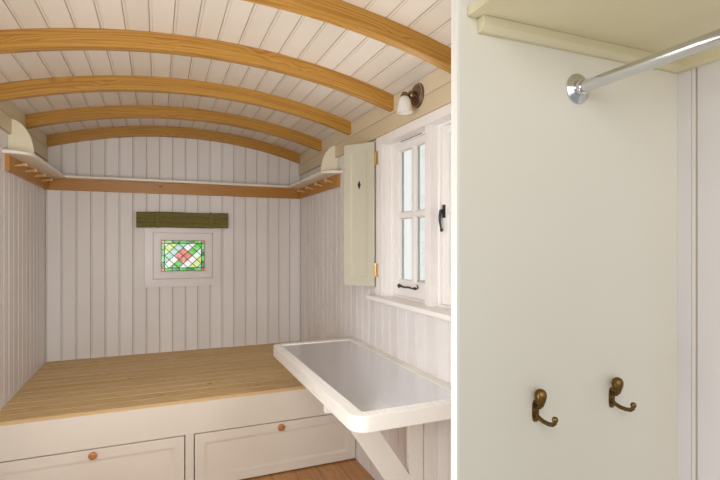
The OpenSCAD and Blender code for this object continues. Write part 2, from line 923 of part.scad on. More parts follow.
// Bell of frosted glass, open at the bottom
module lamp_shade() {
    top = lamp_z - shade_neck_r * 0.6;
    color("whitesmoke")
        in_room()
            translate([half_w - frieze_t - lamp_arm_l, -lamp_d, top - shade_h])
                rotate_extrude($fn = 64)
                    polygon([[shade_r - shade_t, 0], [shade_r, 0],
                        [shade_r * 0.86, shade_h * 0.25], [shade_r * 0.8, shade_h * 0.6],
                        [shade_neck_r, shade_h], [0, shade_h], [0, shade_h - shade_t],
                        [shade_neck_r - shade_t, shade_h - shade_t],
                        [shade_r * 0.8 - shade_t, shade_h * 0.6 - shade_t],
                        [shade_r * 0.86 - shade_t, shade_h * 0.25]]);
}

// Plan of the leaf, with its two front corners rounded, in by a margin
module leaf_plan(margin) {
    r = leaf_corner_r - margin;
    w = leaf_w - margin;
    x0 = half_w - w;
    d0 = leaf_d + margin;
    d1 = leaf_d + leaf_l - margin;
    translate([x0 + r, -d1])
        square([w - r - margin, d1 - d0]);
    translate([x0, -d1 + r])
        square([w - margin, d1 - d0 - 2 * r]);
    for (d = [d0 + r, d1 - r])
        translate([x0 + r, -d])
            circle(r = r, $fn = 64);
}

module table_leaf() {
    color("ivory")
        in_room()
            difference() {
                translate([0, 0, table_z - leaf_t])
                    linear_extrude(height = leaf_t)
                        leaf_plan(0);
                translate([0, 0, table_z - steel_in - steel_t])
                    linear_extrude(height = steel_in + steel_t + 1)
                        leaf_plan(leaf_rim);
            }
}

module table_steel() {
    color("silver")
        in_room()
            translate([0, 0, table_z - steel_in - steel_t])
                linear_extrude(height = steel_t)
                    leaf_plan(leaf_rim);
}

// Swinging bracket: post, top rail and brace, with the moving knuckles of its two hinges
module table_bracket() {
    post_x1 = half_w - batten_w - batten_gap;
    post_x0 = post_x1 - bracket_post_w;
    tip_x = post_x1 - bracket_l;
    d0 = bracket_d - bracket_t / 2;
    d1 = bracket_d + bracket_t / 2;
    third = hinge_h / 3;
    brace_rise = bracket_top - bracket_rail_h - bracket_z - brace_up;
    brace_reach = post_x0 - tip_x - brace_w / 2;
    color("ivory")
        in_room() {
            slab(post_x0, post_x1, d0, d1, bracket_z, bracket_top);
            slab(tip_x, post_x0 + 1, d0, d1, bracket_top - bracket_rail_h, bracket_top);
            across(d0, d1)
                intersection() {
                    translate([tip_x, bracket_z])
                        square([post_x0 + 1 - tip_x, bracket_top - bracket_z]);
                    translate([post_x0, bracket_z + brace_up])
                        rotate(180 - atan2(brace_rise, brace_reach))
                            translate([-brace_w, -brace_w])
                                square([2 * bracket_l + brace_w, brace_w]);
                }
            at_bracket_hinges() {
                difference() {
                    union() {
                        translate([0, 0, third + knuckle_gap])
                            cylinder(r = knuckle_r, h = third - 2 * knuckle_gap, $fn = 40);
                        translate([-knuckle_r, 0, third + knuckle_gap])
                            cube([plate_t, bracket_pin_d - d1, third - 2 * knuckle_gap]);
                    }
                    translate([0, 0, third])
                        cylinder(r = hinge_pin_r + bore_clear, h = third, $fn = 40);
                }
            }
        }
}

// Runs its children at the foot of each hinge between the wall batten and the bracket
module at_bracket_hinges() {
    for (z = [bracket_z + hinge_inset, bracket_top - hinge_inset - hinge_h])
        translate([bracket_pin_x, -bracket_pin_d, z])
            children();
}

// Ledger under the leaf and upright batten on the wall, with the fixed knuckles and pins
module table_battens() {
    third = hinge_h / 3;
    color("ivory")
        in_room() {
            slab(half_w - ledger_t, half_w, leaf_d + leaf_rim, leaf_d + leaf_l - leaf_rim,
                table_z - leaf_t - ledger_h, table_z - leaf_t);
            slab(half_w - batten_w, half_w, bracket_d - batten_w / 2, bracket_d + batten_w / 2,
                bracket_z, table_z - leaf_t);
            at_bracket_hinges() {
                for (z = [0, 2 * third])
                    translate([0, 0, z]) {
                        cylinder(r = knuckle_r, h = third, $fn = 40);
                        translate([batten_gap / 2, 0, 0])
                            cube([knuckle_r, knuckle_r, third]);
                    }
                cylinder(r = hinge_pin_r, h = hinge_h, $fn = 40);
            }
        }
}

// Fascia, post, dividing panel, bearers and runners of the bed
module bed_frame() {
    back = bed_d - bed_front_t;
    color("ivory")
        in_room() {
            slab(-half_w, half_w, back, bed_d, drawer_top + drawer_gap, bed_front_top);
            slab(post_low, post_high, back, bed_d, 0, drawer_top + drawer_gap);
            slab(bed_split_x - divider_t / 2, bed_split_x + divider_t / 2, bearer, back, 0, bed_front_top);
            slab(-half_w, half_w, 0, bearer, bed_front_top - bearer, bed_front_top);
            for (x = [-half_w, half_w - bearer])
                slab(x, x + bearer, bearer, back, bed_front_top - bearer, bed_front_top);
            for (x = runner_places())
                slab(x, x + runner_w, back - drawer_l, back - drawer_gap, 0, runner_h);
        }
}

// Low edges of the four runners, two under each drawer
function runner_places() = [
    -half_w + 2 * drawer_gap + drawer_inset,
    post_low - 2 * drawer_gap - drawer_inset - runner_w,
    post_high + 2 * drawer_gap + drawer_inset,
    half_w - 2 * drawer_gap - drawer_inset - runner_w];

module bed_deck() {
    color("burlywood")
        in_room()
            slab(-half_w, half_w, 0, bed_d, bed_front_top, bed_z);
}

// A drawer between two sideways places: panelled front, sides, back and bottom
module drawer(x0, x1) {
    front_d = bed_d - bed_front_t;
    box_z = runner_h + runner_gap;
    b0 = x0 + drawer_inset;
    b1 = x1 - drawer_inset;
    back_d = front_d - drawer_l;
    color("ivory")
        in_room() {
            difference() {
                slab(x0, x1, front_d, bed_d, drawer_foot, drawer_top);
                slab(x0 + front_rail, x1 - front_rail, bed_d - front_sink, bed_d + 1,
                    drawer_foot + front_rail, drawer_top - front_rail);
            }
            slab(b0, b0 + drawer_side_t, back_d, front_d, box_z, box_z + drawer_side_h);
            slab(b1 - drawer_side_t, b1, back_d, front_d, box_z, box_z + drawer_side_h);
            slab(b0, b1, back_d, back_d + drawer_side_t, box_z, box_z + drawer_side_h);
            slab(b0, b1, back_d, front_d, box_z, box_z + drawer_bottom_t);
        }
}

module left_drawer() {
    drawer(-half_w + drawer_gap, post_low - drawer_gap);
}

module right_drawer() {
    drawer(post_high + drawer_gap, half_w - drawer_gap);
}

// A turned knob on the middle of a drawer's top rail
module drawer_knob(x) {
    color("peru")
        in_room()
            translate([x, -bed_d, drawer_top - knob_drop])
                rotate([90, 0, 0])
                    rotate_extrude($fn = 48)
                        polygon([[0, 0], [knob_r * 0.5, 0], [knob_r * 0.45, knob_l * 0.45],
                            [knob_r, knob_l * 0.7], [knob_r * 0.92, knob_l * 0.9],
                            [knob_r * 0.5, knob_l], [0, knob_l]]);
}

module left_drawer_knob() {
    drawer_knob((-half_w + post_low) / 2);
}

module right_drawer_knob() {
    drawer_knob((half_w + post_high) / 2);
}

// Upright panel between the sleeping end and the wardrobe, fitted round the frieze
module wardrobe_panel() {
    color("beige")
        in_room()
            across(panel_d - panel_t, panel_d)
                difference() {
                    wall_strip(panel_x, half_w, 0, ceil_r);
                    translate([half_w - frieze_t, frieze_z])
                        square([frieze_t + 1, tall - frieze_z]);
                }
}

module wardrobe_shelf() {
    color("beige")
        in_room()
            slab(robe_shelf_x, half_w, panel_d, room_l, robe_shelf_z, robe_shelf_z + robe_shelf_t);
}

// Battens that carry the shelf, on the panel and on the wall, chamfered below
module wardrobe_battens() {
    cut = robe_batten_t / 2;
    color("ivory")
        in_room() {
            translate([robe_shelf_x + robe_batten_in, 0, 0])
                rotate([90, 0, 90])
                    linear_extrude(height = half_w - robe_shelf_x - robe_batten_in)
                        polygon([[-panel_d, robe_shelf_z], [-panel_d, robe_shelf_z - robe_batten_h],
                            [-panel_d - robe_batten_t + cut, robe_shelf_z - robe_batten_h],
                            [-panel_d - robe_batten_t, robe_shelf_z - robe_batten_h + cut],
                            [-panel_d - robe_batten_t, robe_shelf_z]]);
            slab(half_w - robe_batten_t, half_w, panel_d + cut, room_l,
                robe_shelf_z - robe_batten_h, robe_shelf_z);
        }
}

// Tube on a round flange, fixed to the panel and running to the open end
module hanging_rail() {
    color("lightsteelblue")
        in_room()
            translate([rail_x, -panel_d, hang_z])
                rotate([90, 0, 0])
                    rotate_extrude($fn = 48)
                        polygon([[0, 0], [flange_r, 0], [flange_r, flange_t * 0.4],
                            [flange_r * 0.6, flange_t], [hang_r, flange_t],
                            [hang_r, room_l - panel_d], [hang_r - hang_wall, room_l - panel_d],
                            [hang_r - hang_wall, flange_t], [0, flange_t]]);
}

// Two coat hooks on the panel
module coat_hooks() {
    color("darkgoldenrod")
        in_room()
            for (i = [0, 1])
                translate([hook_x + i * hook_pitch, -panel_d, hook_z])
                    coat_hook();
}

// Back plate with an acorn that a short stem runs into, and a prong that turns up to a ball
module coat_hook() {
    low_z = -hook_plate_h / 3;
    acorn_z = hook_plate_h / 2 - 2.4 * hook_r;
    stem_z = acorn_z + 1.2 * hook_r;
    acorn_out = acorn_r + 2 * plate_t;
    translate([-hook_plate_w / 2, -plate_t, -hook_plate_h / 2])
        cube([hook_plate_w, plate_t, hook_plate_h]);
    translate([0, 0, stem_z])
        rotate([90, 0, 0])
            cylinder(r = hook_r, h = acorn_out + hook_r / 2, $fn = 56);
    translate([0, -acorn_out, acorn_z])
        rotate_extrude($fn = 56)
            polygon([[0, 0], [acorn_r * 0.5, 0], [acorn_r * 0.75, acorn_h * 0.3],
                [acorn_r, acorn_h * 0.6], [acorn_r * 0.85, acorn_h * 0.85],
                [acorn_r * 0.4, acorn_h], [0, acorn_h]]);
    translate([0, 0, low_z])
        rotate([90, 0, 0])
            cylinder(r = hook_r, h = hook_reach, $fn = 56);
    translate([0, -hook_reach, low_z])
        sphere(r = hook_r, $fn = 56);
    translate([0, -hook_reach, low_z])
        cylinder(r = hook_r, h = hook_rise, $fn = 56);
    translate([0, -hook_reach, low_z + hook_rise])
        sphere(r = hook_ball_r, $fn = 56);
}

floor_base();
floor_boards();
end_wall();
left_wall();
right_wall();
end_lining();
left_lining();
right_lining();
ceiling_boards();
roof_deck();
roof_sheet();
friezes();
bow(0);  // bow_1
bow(1);  // bow_2
bow(2);  // bow_3
bow(3);  // bow_4
bow(4);  // bow_5
bow(5);  // bow_6
bow(6);  // bow_7
end_shelf();
side_shelf(-1);  // left_shelf
side_shelf(1);  // right_shelf
end_shelf_rail();
peg_rail(-1);  // left_peg_rail
peg_rail(1);  // right_peg_rail
bookends();
end_window_frame();
end_window_glass();
window_blind();
blind_batten();
side_window_frame();
side_window_architrave();
window_board();
casement(side_win_d);  // left_casement
casement(side_win_mid + mullion_w / 2);  // right_casement
casement_glass();
casement_ironmongery();
shutter(-1);  // left_shutter
shutter(1);  // right_shutter
shutter_hinges(-1);  // left_shutter_hinges
shutter_hinges(1);  // right_shutter_hinges
shutter_hinge_plates();
lamp_mount();
lamp_shade();
table_leaf();
table_steel();
table_bracket();
table_battens();
bed_frame();
bed_deck();
left_drawer();
right_drawer();
left_drawer_knob();
right_drawer_knob();
wardrobe_panel();
wardrobe_shelf();
wardrobe_battens();
hanging_rail();
coat_hooks();
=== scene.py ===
"""Looks of the sleeping end of a timber hut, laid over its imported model.

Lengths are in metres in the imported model's own frame: X across the hut, Y along it towards
the end wall and Z up. MM turns a size that a joiner would give in millimetres.
"""

import json
import logging
import math
import random
from collections.abc import Callable, Iterable, Sequence
from dataclasses import dataclass
from enum import Enum
from functools import cache
from itertools import pairwise

import bmesh
import bpy
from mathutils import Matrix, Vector


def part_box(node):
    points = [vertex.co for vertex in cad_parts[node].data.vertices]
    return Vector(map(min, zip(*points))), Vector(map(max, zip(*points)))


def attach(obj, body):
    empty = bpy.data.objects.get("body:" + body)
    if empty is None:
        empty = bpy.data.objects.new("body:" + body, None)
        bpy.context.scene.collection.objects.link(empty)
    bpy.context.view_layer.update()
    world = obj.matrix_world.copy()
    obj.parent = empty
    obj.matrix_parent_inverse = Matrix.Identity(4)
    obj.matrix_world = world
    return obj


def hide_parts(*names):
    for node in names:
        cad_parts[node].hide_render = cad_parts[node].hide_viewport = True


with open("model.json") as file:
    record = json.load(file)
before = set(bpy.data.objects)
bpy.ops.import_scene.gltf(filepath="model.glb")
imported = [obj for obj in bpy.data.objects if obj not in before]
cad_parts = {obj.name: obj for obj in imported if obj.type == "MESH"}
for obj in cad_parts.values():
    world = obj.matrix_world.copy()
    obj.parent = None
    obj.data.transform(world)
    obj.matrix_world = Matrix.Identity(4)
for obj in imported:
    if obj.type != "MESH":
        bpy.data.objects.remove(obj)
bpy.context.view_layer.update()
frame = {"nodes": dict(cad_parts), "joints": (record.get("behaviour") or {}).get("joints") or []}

MM = 0.001
LOG = logging.getLogger("hut")
PHOTO_W = 720
# Half the width of the groove beside a bead, and its depth and its darkening (dirt and painted shade) as a
# share of a joint's
QUIRK_W = 1.5 * MM
QUIRK_SINK = 0.5
# Points nearer than this are one place, and less than the second is nothing at all
HAIR = 0.01 * MM
NIL = 1e-9

Place = Sequence[float]
Outline = Sequence[tuple[float, float]]
Tree = bpy.types.NodeTree
Node = bpy.types.Node
Socket = bpy.types.NodeSocket


class Side(Enum):
    """Left or right, with the sign that its places take."""

    LEFT = -1
    RIGHT = 1

    def of(self, what: str) -> str:
        """A piece's name with its side before it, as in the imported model."""
        return f"{self.name.lower()}_{what}"


class Body(Enum):
    """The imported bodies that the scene's own pieces ride on."""

    HUT = "hut"
    LEFT_SHUTTER = "left_shutter_leaf"
    RIGHT_SHUTTER = "right_shutter_leaf"
    LEFT_DRAWER = "left_drawer_box"
    RIGHT_DRAWER = "right_drawer_box"


class Grain(Enum):
    """Which way the fibres of a timber piece, or the strokes of its finish, run."""

    ALONG_X = "along x"
    ALONG_Y = "along y"
    ALONG_Z = "along z"
    ROUND_ROOF = "round the roof"


@cache
def box(node: str) -> tuple[Vector, Vector]:
    """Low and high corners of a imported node, measured once."""
    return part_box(node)


def in_mm(*pairs: tuple[float, float]) -> Outline:
    """An outline whose points are written in millimetres."""
    return tuple((a * MM, b * MM) for a, b in pairs)


def linear(code: str) -> tuple[float, float, float, float]:
    """Turns an sRGB hex colour into the linear one that shaders take.

    Args:
        code: Six hex digits.

    Returns:
        Linear red, green and blue, and an alpha of 1.
    """
    parts = [int(code[i : i + 2], 16) / 255 for i in (0, 2, 4)]
    red, green, blue = [c / 12.92 if c <= 0.04045 else ((c + 0.055) / 1.055) ** 2.4 for c in parts]
    return red, green, blue, 1.0


def wire(tree: Tree, node: Node, inputs: dict[str | int, object]) -> None:
    """Sets or links a node's inputs.

    Args:
        tree: The node tree.
        node: The node.
        inputs: A value, or a socket to link from, for each named or numbered input.
    """
    for name, value in inputs.items():
        if isinstance(value, Socket):
            tree.links.new(value, node.inputs[name])
        else:
            node.inputs[name].default_value = value


def add(tree: Tree, kind: str, inputs: dict[str | int, object] | None = None, **settings: object) -> Node:
    """Adds one node with its settings, values and links.

    Args:
        tree: The node tree.
        kind: The node's type, without its ShaderNode prefix.
        inputs: A value, or a socket to link from, for each named or numbered input.
        settings: Properties of the node.

    Returns:
        The new node.
    """
    node = tree.nodes.new("ShaderNode" + kind)
    for name, value in settings.items():
        setattr(node, name, value)
    wire(tree, node, inputs or {})
    return node


@dataclass(frozen=True)
class Room:
    """The main places of the hut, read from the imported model."""

    half: float
    lining: float
    wall: float
    floor: float
    near: float
    end: float
    end_out: float
    centre_z: float
    bow_r: float
    ceil_r: float
    deck_r: float

    @classmethod
    def measured(cls) -> "Room":
        """Works the room's places out from the nodes' boxes.

        Returns:
            The room.
        """
        lining_lo, lining_hi = box("left_lining")
        wall_lo, _ = box("left_wall")
        floor_lo, floor_hi = box("floor_boards")
        bow_lo, bow_hi = box("bow_1")
        ceil_lo, ceil_hi = box("ceiling_boards")
        fall = bow_hi.z - ceil_lo.z
        ceil_r = (ceil_hi.x**2 + fall**2) / (2 * fall)
        centre_z = bow_hi.z - ceil_r
        return cls(
            half=-lining_hi.x,
            lining=-lining_lo.x,
            wall=-wall_lo.x,
            floor=floor_hi.z,
            near=floor_lo.y,
            end=box("end_lining")[0].y,
            end_out=box("end_wall")[1].y,
            centre_z=centre_z,
            bow_r=math.hypot(bow_hi.x, bow_lo.z - centre_z),
            ceil_r=ceil_r,
            deck_r=ceil_hi.z - centre_z,
        )

    def under(self, radius: float, x: float) -> float:
        """Height of a round of the roof at a sideways place.

        Args:
            radius: The round's radius.
            x: Sideways place.

        Returns:
            Height over the ground.
        """
        return self.centre_z + math.sqrt(radius**2 - x**2)


ROOM = Room.measured()


def along_grain(tree: Tree, grain: Grain, length: float, width: float, tone: float = 0.0) -> Socket:
    """Coordinates in which one unit is `length` along the grain and `width` across it.

    Args:
        tree: The node tree.
        grain: Which way the fibres run.
        length: Real length of one unit along the grain.
        width: Real length of one unit across it.
        tone: How many units the figure jumps from one board to the next.

    Returns:
        The vector socket, with the grain along its X.
    """
    place = add(tree, "TexCoord").outputs["Object"]
    parts = add(tree, "SeparateXYZ", {0: place}).outputs
    if grain is Grain.ROUND_ROOF:
        up = add(tree, "Math", {0: parts["Z"], 1: ROOM.centre_z}, operation="SUBTRACT").outputs[0]
        angle = add(tree, "Math", {0: parts["X"], 1: up}, operation="ARCTAN2").outputs[0]
        run = add(tree, "Math", {0: angle, 1: ROOM.bow_r}, operation="MULTIPLY").outputs[0]
        flat = add(tree, "CombineXYZ", {0: parts["X"], 2: up}).outputs[0]
        radial = add(tree, "VectorMath", {0: flat}, operation="LENGTH").outputs["Value"]
        order = (run, parts["Y"], radial)
    elif grain is Grain.ALONG_X:
        order = (parts["X"], parts["Y"], parts["Z"])
    elif grain is Grain.ALONG_Y:
        order = (parts["Y"], parts["X"], parts["Z"])
    else:
        order = (parts["Z"], parts["X"], parts["Y"])
    joined = add(tree, "CombineXYZ", {0: order[0], 1: order[1], 2: order[2]}).outputs[0]
    scale = (1 / length, 1 / width, 1 / width)
    scaled = add(tree, "VectorMath", {0: joined, 1: scale}, operation="MULTIPLY").outputs[0]
    if not tone:
        return scaled
    board = add(tree, "Attribute", attribute_name="tone").outputs["Fac"]
    jump = add(tree, "Math", {0: board, 1: tone}, operation="MULTIPLY").outputs[0]
    return add(tree, "VectorMath", {0: scaled, 1: jump}, operation="ADD").outputs[0]


@dataclass(frozen=True)
class Finish:
    """One real finish. material() makes its node material the first time that it is asked for."""

    name: str

    def material(self) -> bpy.types.Material:
        """The finish as a material, made once.

        Returns:
            The material.
        """
        made = bpy.data.materials.get(self.name)
        if made is None:
            made = bpy.data.materials.new(self.name)
            made.use_nodes = True
            self.lay(made.node_tree, made.node_tree.nodes["Principled BSDF"])
        return made

    def lay(self, tree: Tree, shader: Node) -> None:
        """Adds the finish's nodes to a tree and sets its shader."""
        raise NotImplementedError

    def mixed(self, tree: Tree, share: Socket, colours: tuple[object, object]) -> Socket:
        """Mixes two colours.

        Args:
            tree: The node tree.
            share: How much of the second colour shows.
            colours: Each a hex code, or a socket that gives the colour.

        Returns:
            The mixed colour's socket.
        """
        first, second = [linear(colour) if isinstance(colour, str) else colour for colour in colours]
        return add(tree, "Mix", {0: share, 6: first, 7: second}, data_type="RGBA").outputs[2]

    def clouded(
        self,
        tree: Tree,
        pattern: Socket,
        colours: tuple[str, str],
        span: tuple[float, float, float],
        relief: tuple[float, float],
    ) -> dict[str | int, object]:
        """Lets one pattern bring in a second colour and raise the surface.

        Args:
            tree: The node tree.
            pattern: The pattern's socket.
            colours: Hex codes of the surface and of what the pattern brings in.
            span: The pattern's values where the second colour starts and stops rising, and its share there.
            relief: Strength and height of the relief.

        Returns:
            The shader's base colour and normal.
        """
        start, stop, most = span
        strength, height = relief
        share = add(tree, "MapRange", {0: pattern, 1: start, 2: stop, 3: 0.0, 4: most}).outputs[0]
        bump = add(tree, "Bump", {"Strength": strength, "Distance": height, "Height": pattern})
        return {"Base Color": self.mixed(tree, share, colours), "Normal": bump.outputs[0]}


@dataclass(frozen=True)
class BrushedPaint(Finish):
    """Oil eggshell brushed on softwood: an even pale coat with a soft sheen and faint strokes."""

    colour: str
    shaded: str
    # Colour down in the joints: partly dirt, partly painted shade
    joint: str = "b39c7c"
    grain: Grain = Grain.ALONG_Z
    roughness: float = 0.45
    uneven: float = 0.07
    stroke_w: float = 6 * MM
    stroke_l: float = 260 * MM
    drift: float = 700 * MM
    by_board: float = 0.3
    relief: float = 0.25 * MM

    def lay(self, tree: Tree, shader: Node) -> None:
        """Colour drifts slowly and from board to board, and is dark down in the joints: partly dirt, partly
        painted shade.

        The strokes are drawn some four times coarser than bristle marks, so that they show.

        Args:
            tree: The finish's node tree.
            shader: Its shader.
        """
        strokes = along_grain(tree, self.grain, self.stroke_l, self.stroke_w, tone=7.0)
        place = add(tree, "TexCoord").outputs["Object"]
        cloud = add(tree, "TexNoise", {"Vector": place, "Scale": 1 / self.drift, "Detail": 3.0})
        board = add(tree, "Attribute", attribute_name="tone").outputs["Fac"]
        tone = {0: board, 1: self.by_board, 2: cloud.outputs["Fac"]}
        share = add(tree, "Math", tone, operation="MULTIPLY_ADD").outputs[0]
        share = add(tree, "MapRange", {0: share, 1: 0.35, 2: 0.95, 3: 0.0, 4: 1.0}).outputs[0]
        coat = self.mixed(tree, share, (self.colour, self.shaded))
        # Painted shade, partly dirt: the joint colour is mixed in down in the grooves between boards
        sunk = add(tree, "Attribute", attribute_name="joint").outputs["Fac"]
        coat = self.mixed(tree, sunk, (coat, self.joint))
        bristle = add(tree, "TexNoise", {"Vector": strokes, "Scale": 1.0, "Detail": 4.0}).outputs["Fac"]
        glossy, dull = self.roughness - self.uneven, self.roughness + self.uneven
        gloss = {0: bristle, 1: 0.3, 2: 0.7, 3: glossy, 4: dull}
        sheen = add(tree, "MapRange", gloss).outputs[0]
        bump = add(tree, "Bump", {"Strength": 0.5, "Distance": self.relief, "Height": bristle}).outputs[0]
        wire(tree, shader, {"Base Color": coat, "Roughness": sheen, "Normal": bump, "IOR": 1.48})


@dataclass(frozen=True)
class ClearTimber(Finish):
    """Planed timber under wax or oil: growth rings along the length, knots and a warm low gloss."""

    light: str
    dark: str
    knot: str
    grain: Grain = Grain.ALONG_X
    ring: float = 9 * MM
    knot_run: float = 230 * MM
    knot_across: float = 120 * MM
    fibre_w: float = 2 * MM
    figure: float = 0.5
    by_board: float = 0.25
    roughness: float = 0.42
    coat: float = 0.15
    # Colour down in the gaps between boards: partly dirt, partly painted shade
    joint: str = "2c1a0e"

    def rings(self, tree: Tree, away: Socket) -> Socket:
        """Late wood lines that follow the grain and part round the knots.

        Args:
            tree: The finish's node tree.
            away: Distance from the nearest knot.

        Returns:
            How dark the ring is at each place.
        """
        slow = along_grain(tree, self.grain, 900 * MM, 70 * MM, tone=5.0)
        wander = add(tree, "TexNoise", {"Vector": slow, "Scale": 1.0, "Detail": 2.0}).outputs["Fac"]
        swirl = add(tree, "MapRange", {0: away, 1: 0.04, 2: 0.34, 3: 1.6, 4: 0.0}).outputs[0]
        across = along_grain(tree, self.grain, 4000 * MM, self.ring, tone=2.0)
        parts = add(tree, "SeparateXYZ", {0: across}).outputs
        lean = add(tree, "Math", {0: parts["Y"], 1: 0.35, 2: parts["Z"]}, operation="MULTIPLY_ADD")
        bent = {0: wander, 1: 5.0, 2: lean.outputs[0]}
        turn = add(tree, "Math", bent, operation="MULTIPLY_ADD").outputs[0]
        turn = add(tree, "Math", {0: turn, 1: swirl}, operation="ADD").outputs[0]
        wave = add(tree, "Math", {0: turn, 1: math.tau}, operation="MULTIPLY").outputs[0]
        wave = add(tree, "Math", {0: wave}, operation="SINE").outputs[0]
        return add(tree, "MapRange", {0: wave, 1: -0.2, 2: 1.0, 3: 0.0, 4: self.figure}).outputs[0]

    def lay(self, tree: Tree, shader: Node) -> None:
        """Rings, knots and fibres in the wood, and a tone of its own for each board.

        The fibres are drawn 2 mm wide, several times coarser than real ones, so that they show.

        Args:
            tree: The finish's node tree.
            shader: Its shader.
        """
        knots = along_grain(tree, self.grain, self.knot_run, self.knot_across, tone=3.3)
        away = add(tree, "TexVoronoi", {"Vector": knots, "Scale": 1.0}).outputs["Distance"]
        knot = add(tree, "MapRange", {0: away, 1: 0.05, 2: 0.085, 3: 1.0, 4: 0.0}).outputs[0]
        fine = along_grain(tree, self.grain, 30 * self.fibre_w, self.fibre_w, tone=11.0)
        fibre = add(tree, "TexNoise", {"Vector": fine, "Scale": 1.0, "Detail": 2.0}).outputs["Fac"]
        ring = self.rings(tree, away)
        share = add(tree, "Math", {0: fibre, 1: 0.45, 2: ring}, operation="MULTIPLY_ADD").outputs[0]
        board = add(tree, "Attribute", attribute_name="tone").outputs["Fac"]
        tone = {0: board, 1: self.by_board, 2: share}
        share = add(tree, "Math", tone, operation="MULTIPLY_ADD", use_clamp=True).outputs[0]
        wood = self.mixed(tree, share, (self.light, self.dark))
        wood = self.mixed(tree, knot, (wood, self.knot))
        # Painted shade, partly dirt: dark down in the gaps between boards
        sunk = add(tree, "Attribute", attribute_name="joint").outputs["Fac"]
        wood = self.mixed(tree, sunk, (wood, self.joint))
        gloss = {0: share, 1: 0.0, 2: 1.0, 3: self.roughness - 0.06, 4: self.roughness + 0.08}
        sheen = add(tree, "MapRange", gloss).outputs[0]
        bump = add(tree, "Bump", {"Strength": 0.35, "Distance": 0.3 * MM, "Height": share}).outputs[0]
        wire(tree, shader, {"Base Color": wood, "Roughness": sheen, "Normal": bump, "IOR": 1.5})
        wire(tree, shader, {"Coat Weight": self.coat, "Coat Roughness": 0.3})


@dataclass(frozen=True)
class Metal(Finish):
    """Bare metal: polished, brushed or tarnished. The tarnish lies in soft clouds."""

    colour: str
    tarnish: str
    roughness: float
    spread: float = 0.08
    clouds: float = 40 * MM
    brushed: Grain | None = None
    line_w: float = 1.5 * MM
    line_l: float = 240 * MM
    tarnished: float = 0.5

    def lay(self, tree: Tree, shader: Node) -> None:
        """Brushed sheet has fine lines one way, drawn 1.5 mm apart so that they show.

        Args:
            tree: The finish's node tree.
            shader: Its shader.
        """
        if self.brushed is None:
            place = add(tree, "TexCoord").outputs["Object"]
            scale = 1 / self.clouds
        else:
            place = along_grain(tree, self.brushed, self.line_l, self.line_w)
            scale = 1.0
        marks = add(tree, "TexNoise", {"Vector": place, "Scale": scale, "Detail": 4.0}).outputs["Fac"]
        colours = (self.colour, self.tarnish)
        laid = self.clouded(tree, marks, colours, (0.35, 0.75, self.tarnished), (0.15, 0.1 * MM))
        gloss = {0: marks, 1: 0.3, 2: 0.7, 3: self.roughness, 4: self.roughness + self.spread}
        dull = add(tree, "MapRange", gloss).outputs[0]
        wire(tree, shader, {**laid, "Roughness": dull, "Metallic": 1.0})


@dataclass(frozen=True)
class ForgedIron(Finish):
    """Wrought iron under black stove enamel: a dented skin with a dull gloss."""

    colour: str = "17171a"
    worn: str = "3a3734"
    dent: float = 5 * MM
    roughness: float = 0.42

    def lay(self, tree: Tree, shader: Node) -> None:
        """Hammer dents in the surface, and the enamel a little worn on them.

        Args:
            tree: The finish's node tree.
            shader: Its shader.
        """
        place = add(tree, "TexCoord").outputs["Object"]
        dents = add(tree, "TexNoise", {"Vector": place, "Scale": 1 / self.dent, "Detail": 2.0})
        colours = (self.colour, self.worn)
        laid = self.clouded(tree, dents.outputs["Fac"], colours, (0.5, 0.8, 0.6), (0.5, 0.6 * MM))
        wire(tree, shader, {**laid, "Roughness": self.roughness, "IOR": 1.5})


@dataclass(frozen=True)
class CoatedSheet(Finish):
    """Galvanised steel sheet with a factory coat: smooth and dull, streaked down the slope."""

    colour: str
    streak: str
    roughness: float = 0.5
    streak_w: float = 26 * MM
    streak_l: float = 900 * MM

    def lay(self, tree: Tree, shader: Node) -> None:
        """Rain streaks run down the round of the roof.

        Args:
            tree: The finish's node tree.
            shader: Its shader.
        """
        flow = along_grain(tree, Grain.ROUND_ROOF, self.streak_l, self.streak_w)
        rain = add(tree, "TexNoise", {"Vector": flow, "Scale": 1.0, "Detail": 5.0}).outputs["Fac"]
        laid = self.clouded(tree, rain, (self.colour, self.streak), (0.42, 0.75, 0.7), (0.2, 0.3 * MM))
        gloss = {0: rain, 1: 0.3, 2: 0.7, 3: self.roughness, 4: self.roughness + 0.15}
        dull = add(tree, "MapRange", gloss).outputs[0]
        wire(tree, shader, {**laid, "Roughness": dull, "IOR": 1.5})


@dataclass(frozen=True)
class Glass(Finish):
    """Drawn, coloured or opal glass, with the slow waves of its surface."""

    colour: str
    roughness: float = 0.0
    through: float = 1.0
    wave: float = 60 * MM
    relief: float = 0.2 * MM
    streak: str = "ffffff"

    def lay(self, tree: Tree, shader: Node) -> None:
        """Slow waves bend what is seen in it, and coloured glass is streaked like poured glass.

        Args:
            tree: The finish's node tree.
            shader: Its shader.
        """
        place = add(tree, "TexCoord").outputs["Object"]
        waves = add(tree, "TexNoise", {"Vector": place, "Scale": 1 / self.wave, "Detail": 2.0})
        colours = (self.colour, self.streak)
        laid = self.clouded(tree, waves.outputs["Fac"], colours, (0.4, 0.7, 0.35), (0.2, self.relief))
        wire(tree, shader, {**laid, "Roughness": self.roughness, "IOR": 1.5})
        wire(tree, shader, {"Transmission Weight": self.through})


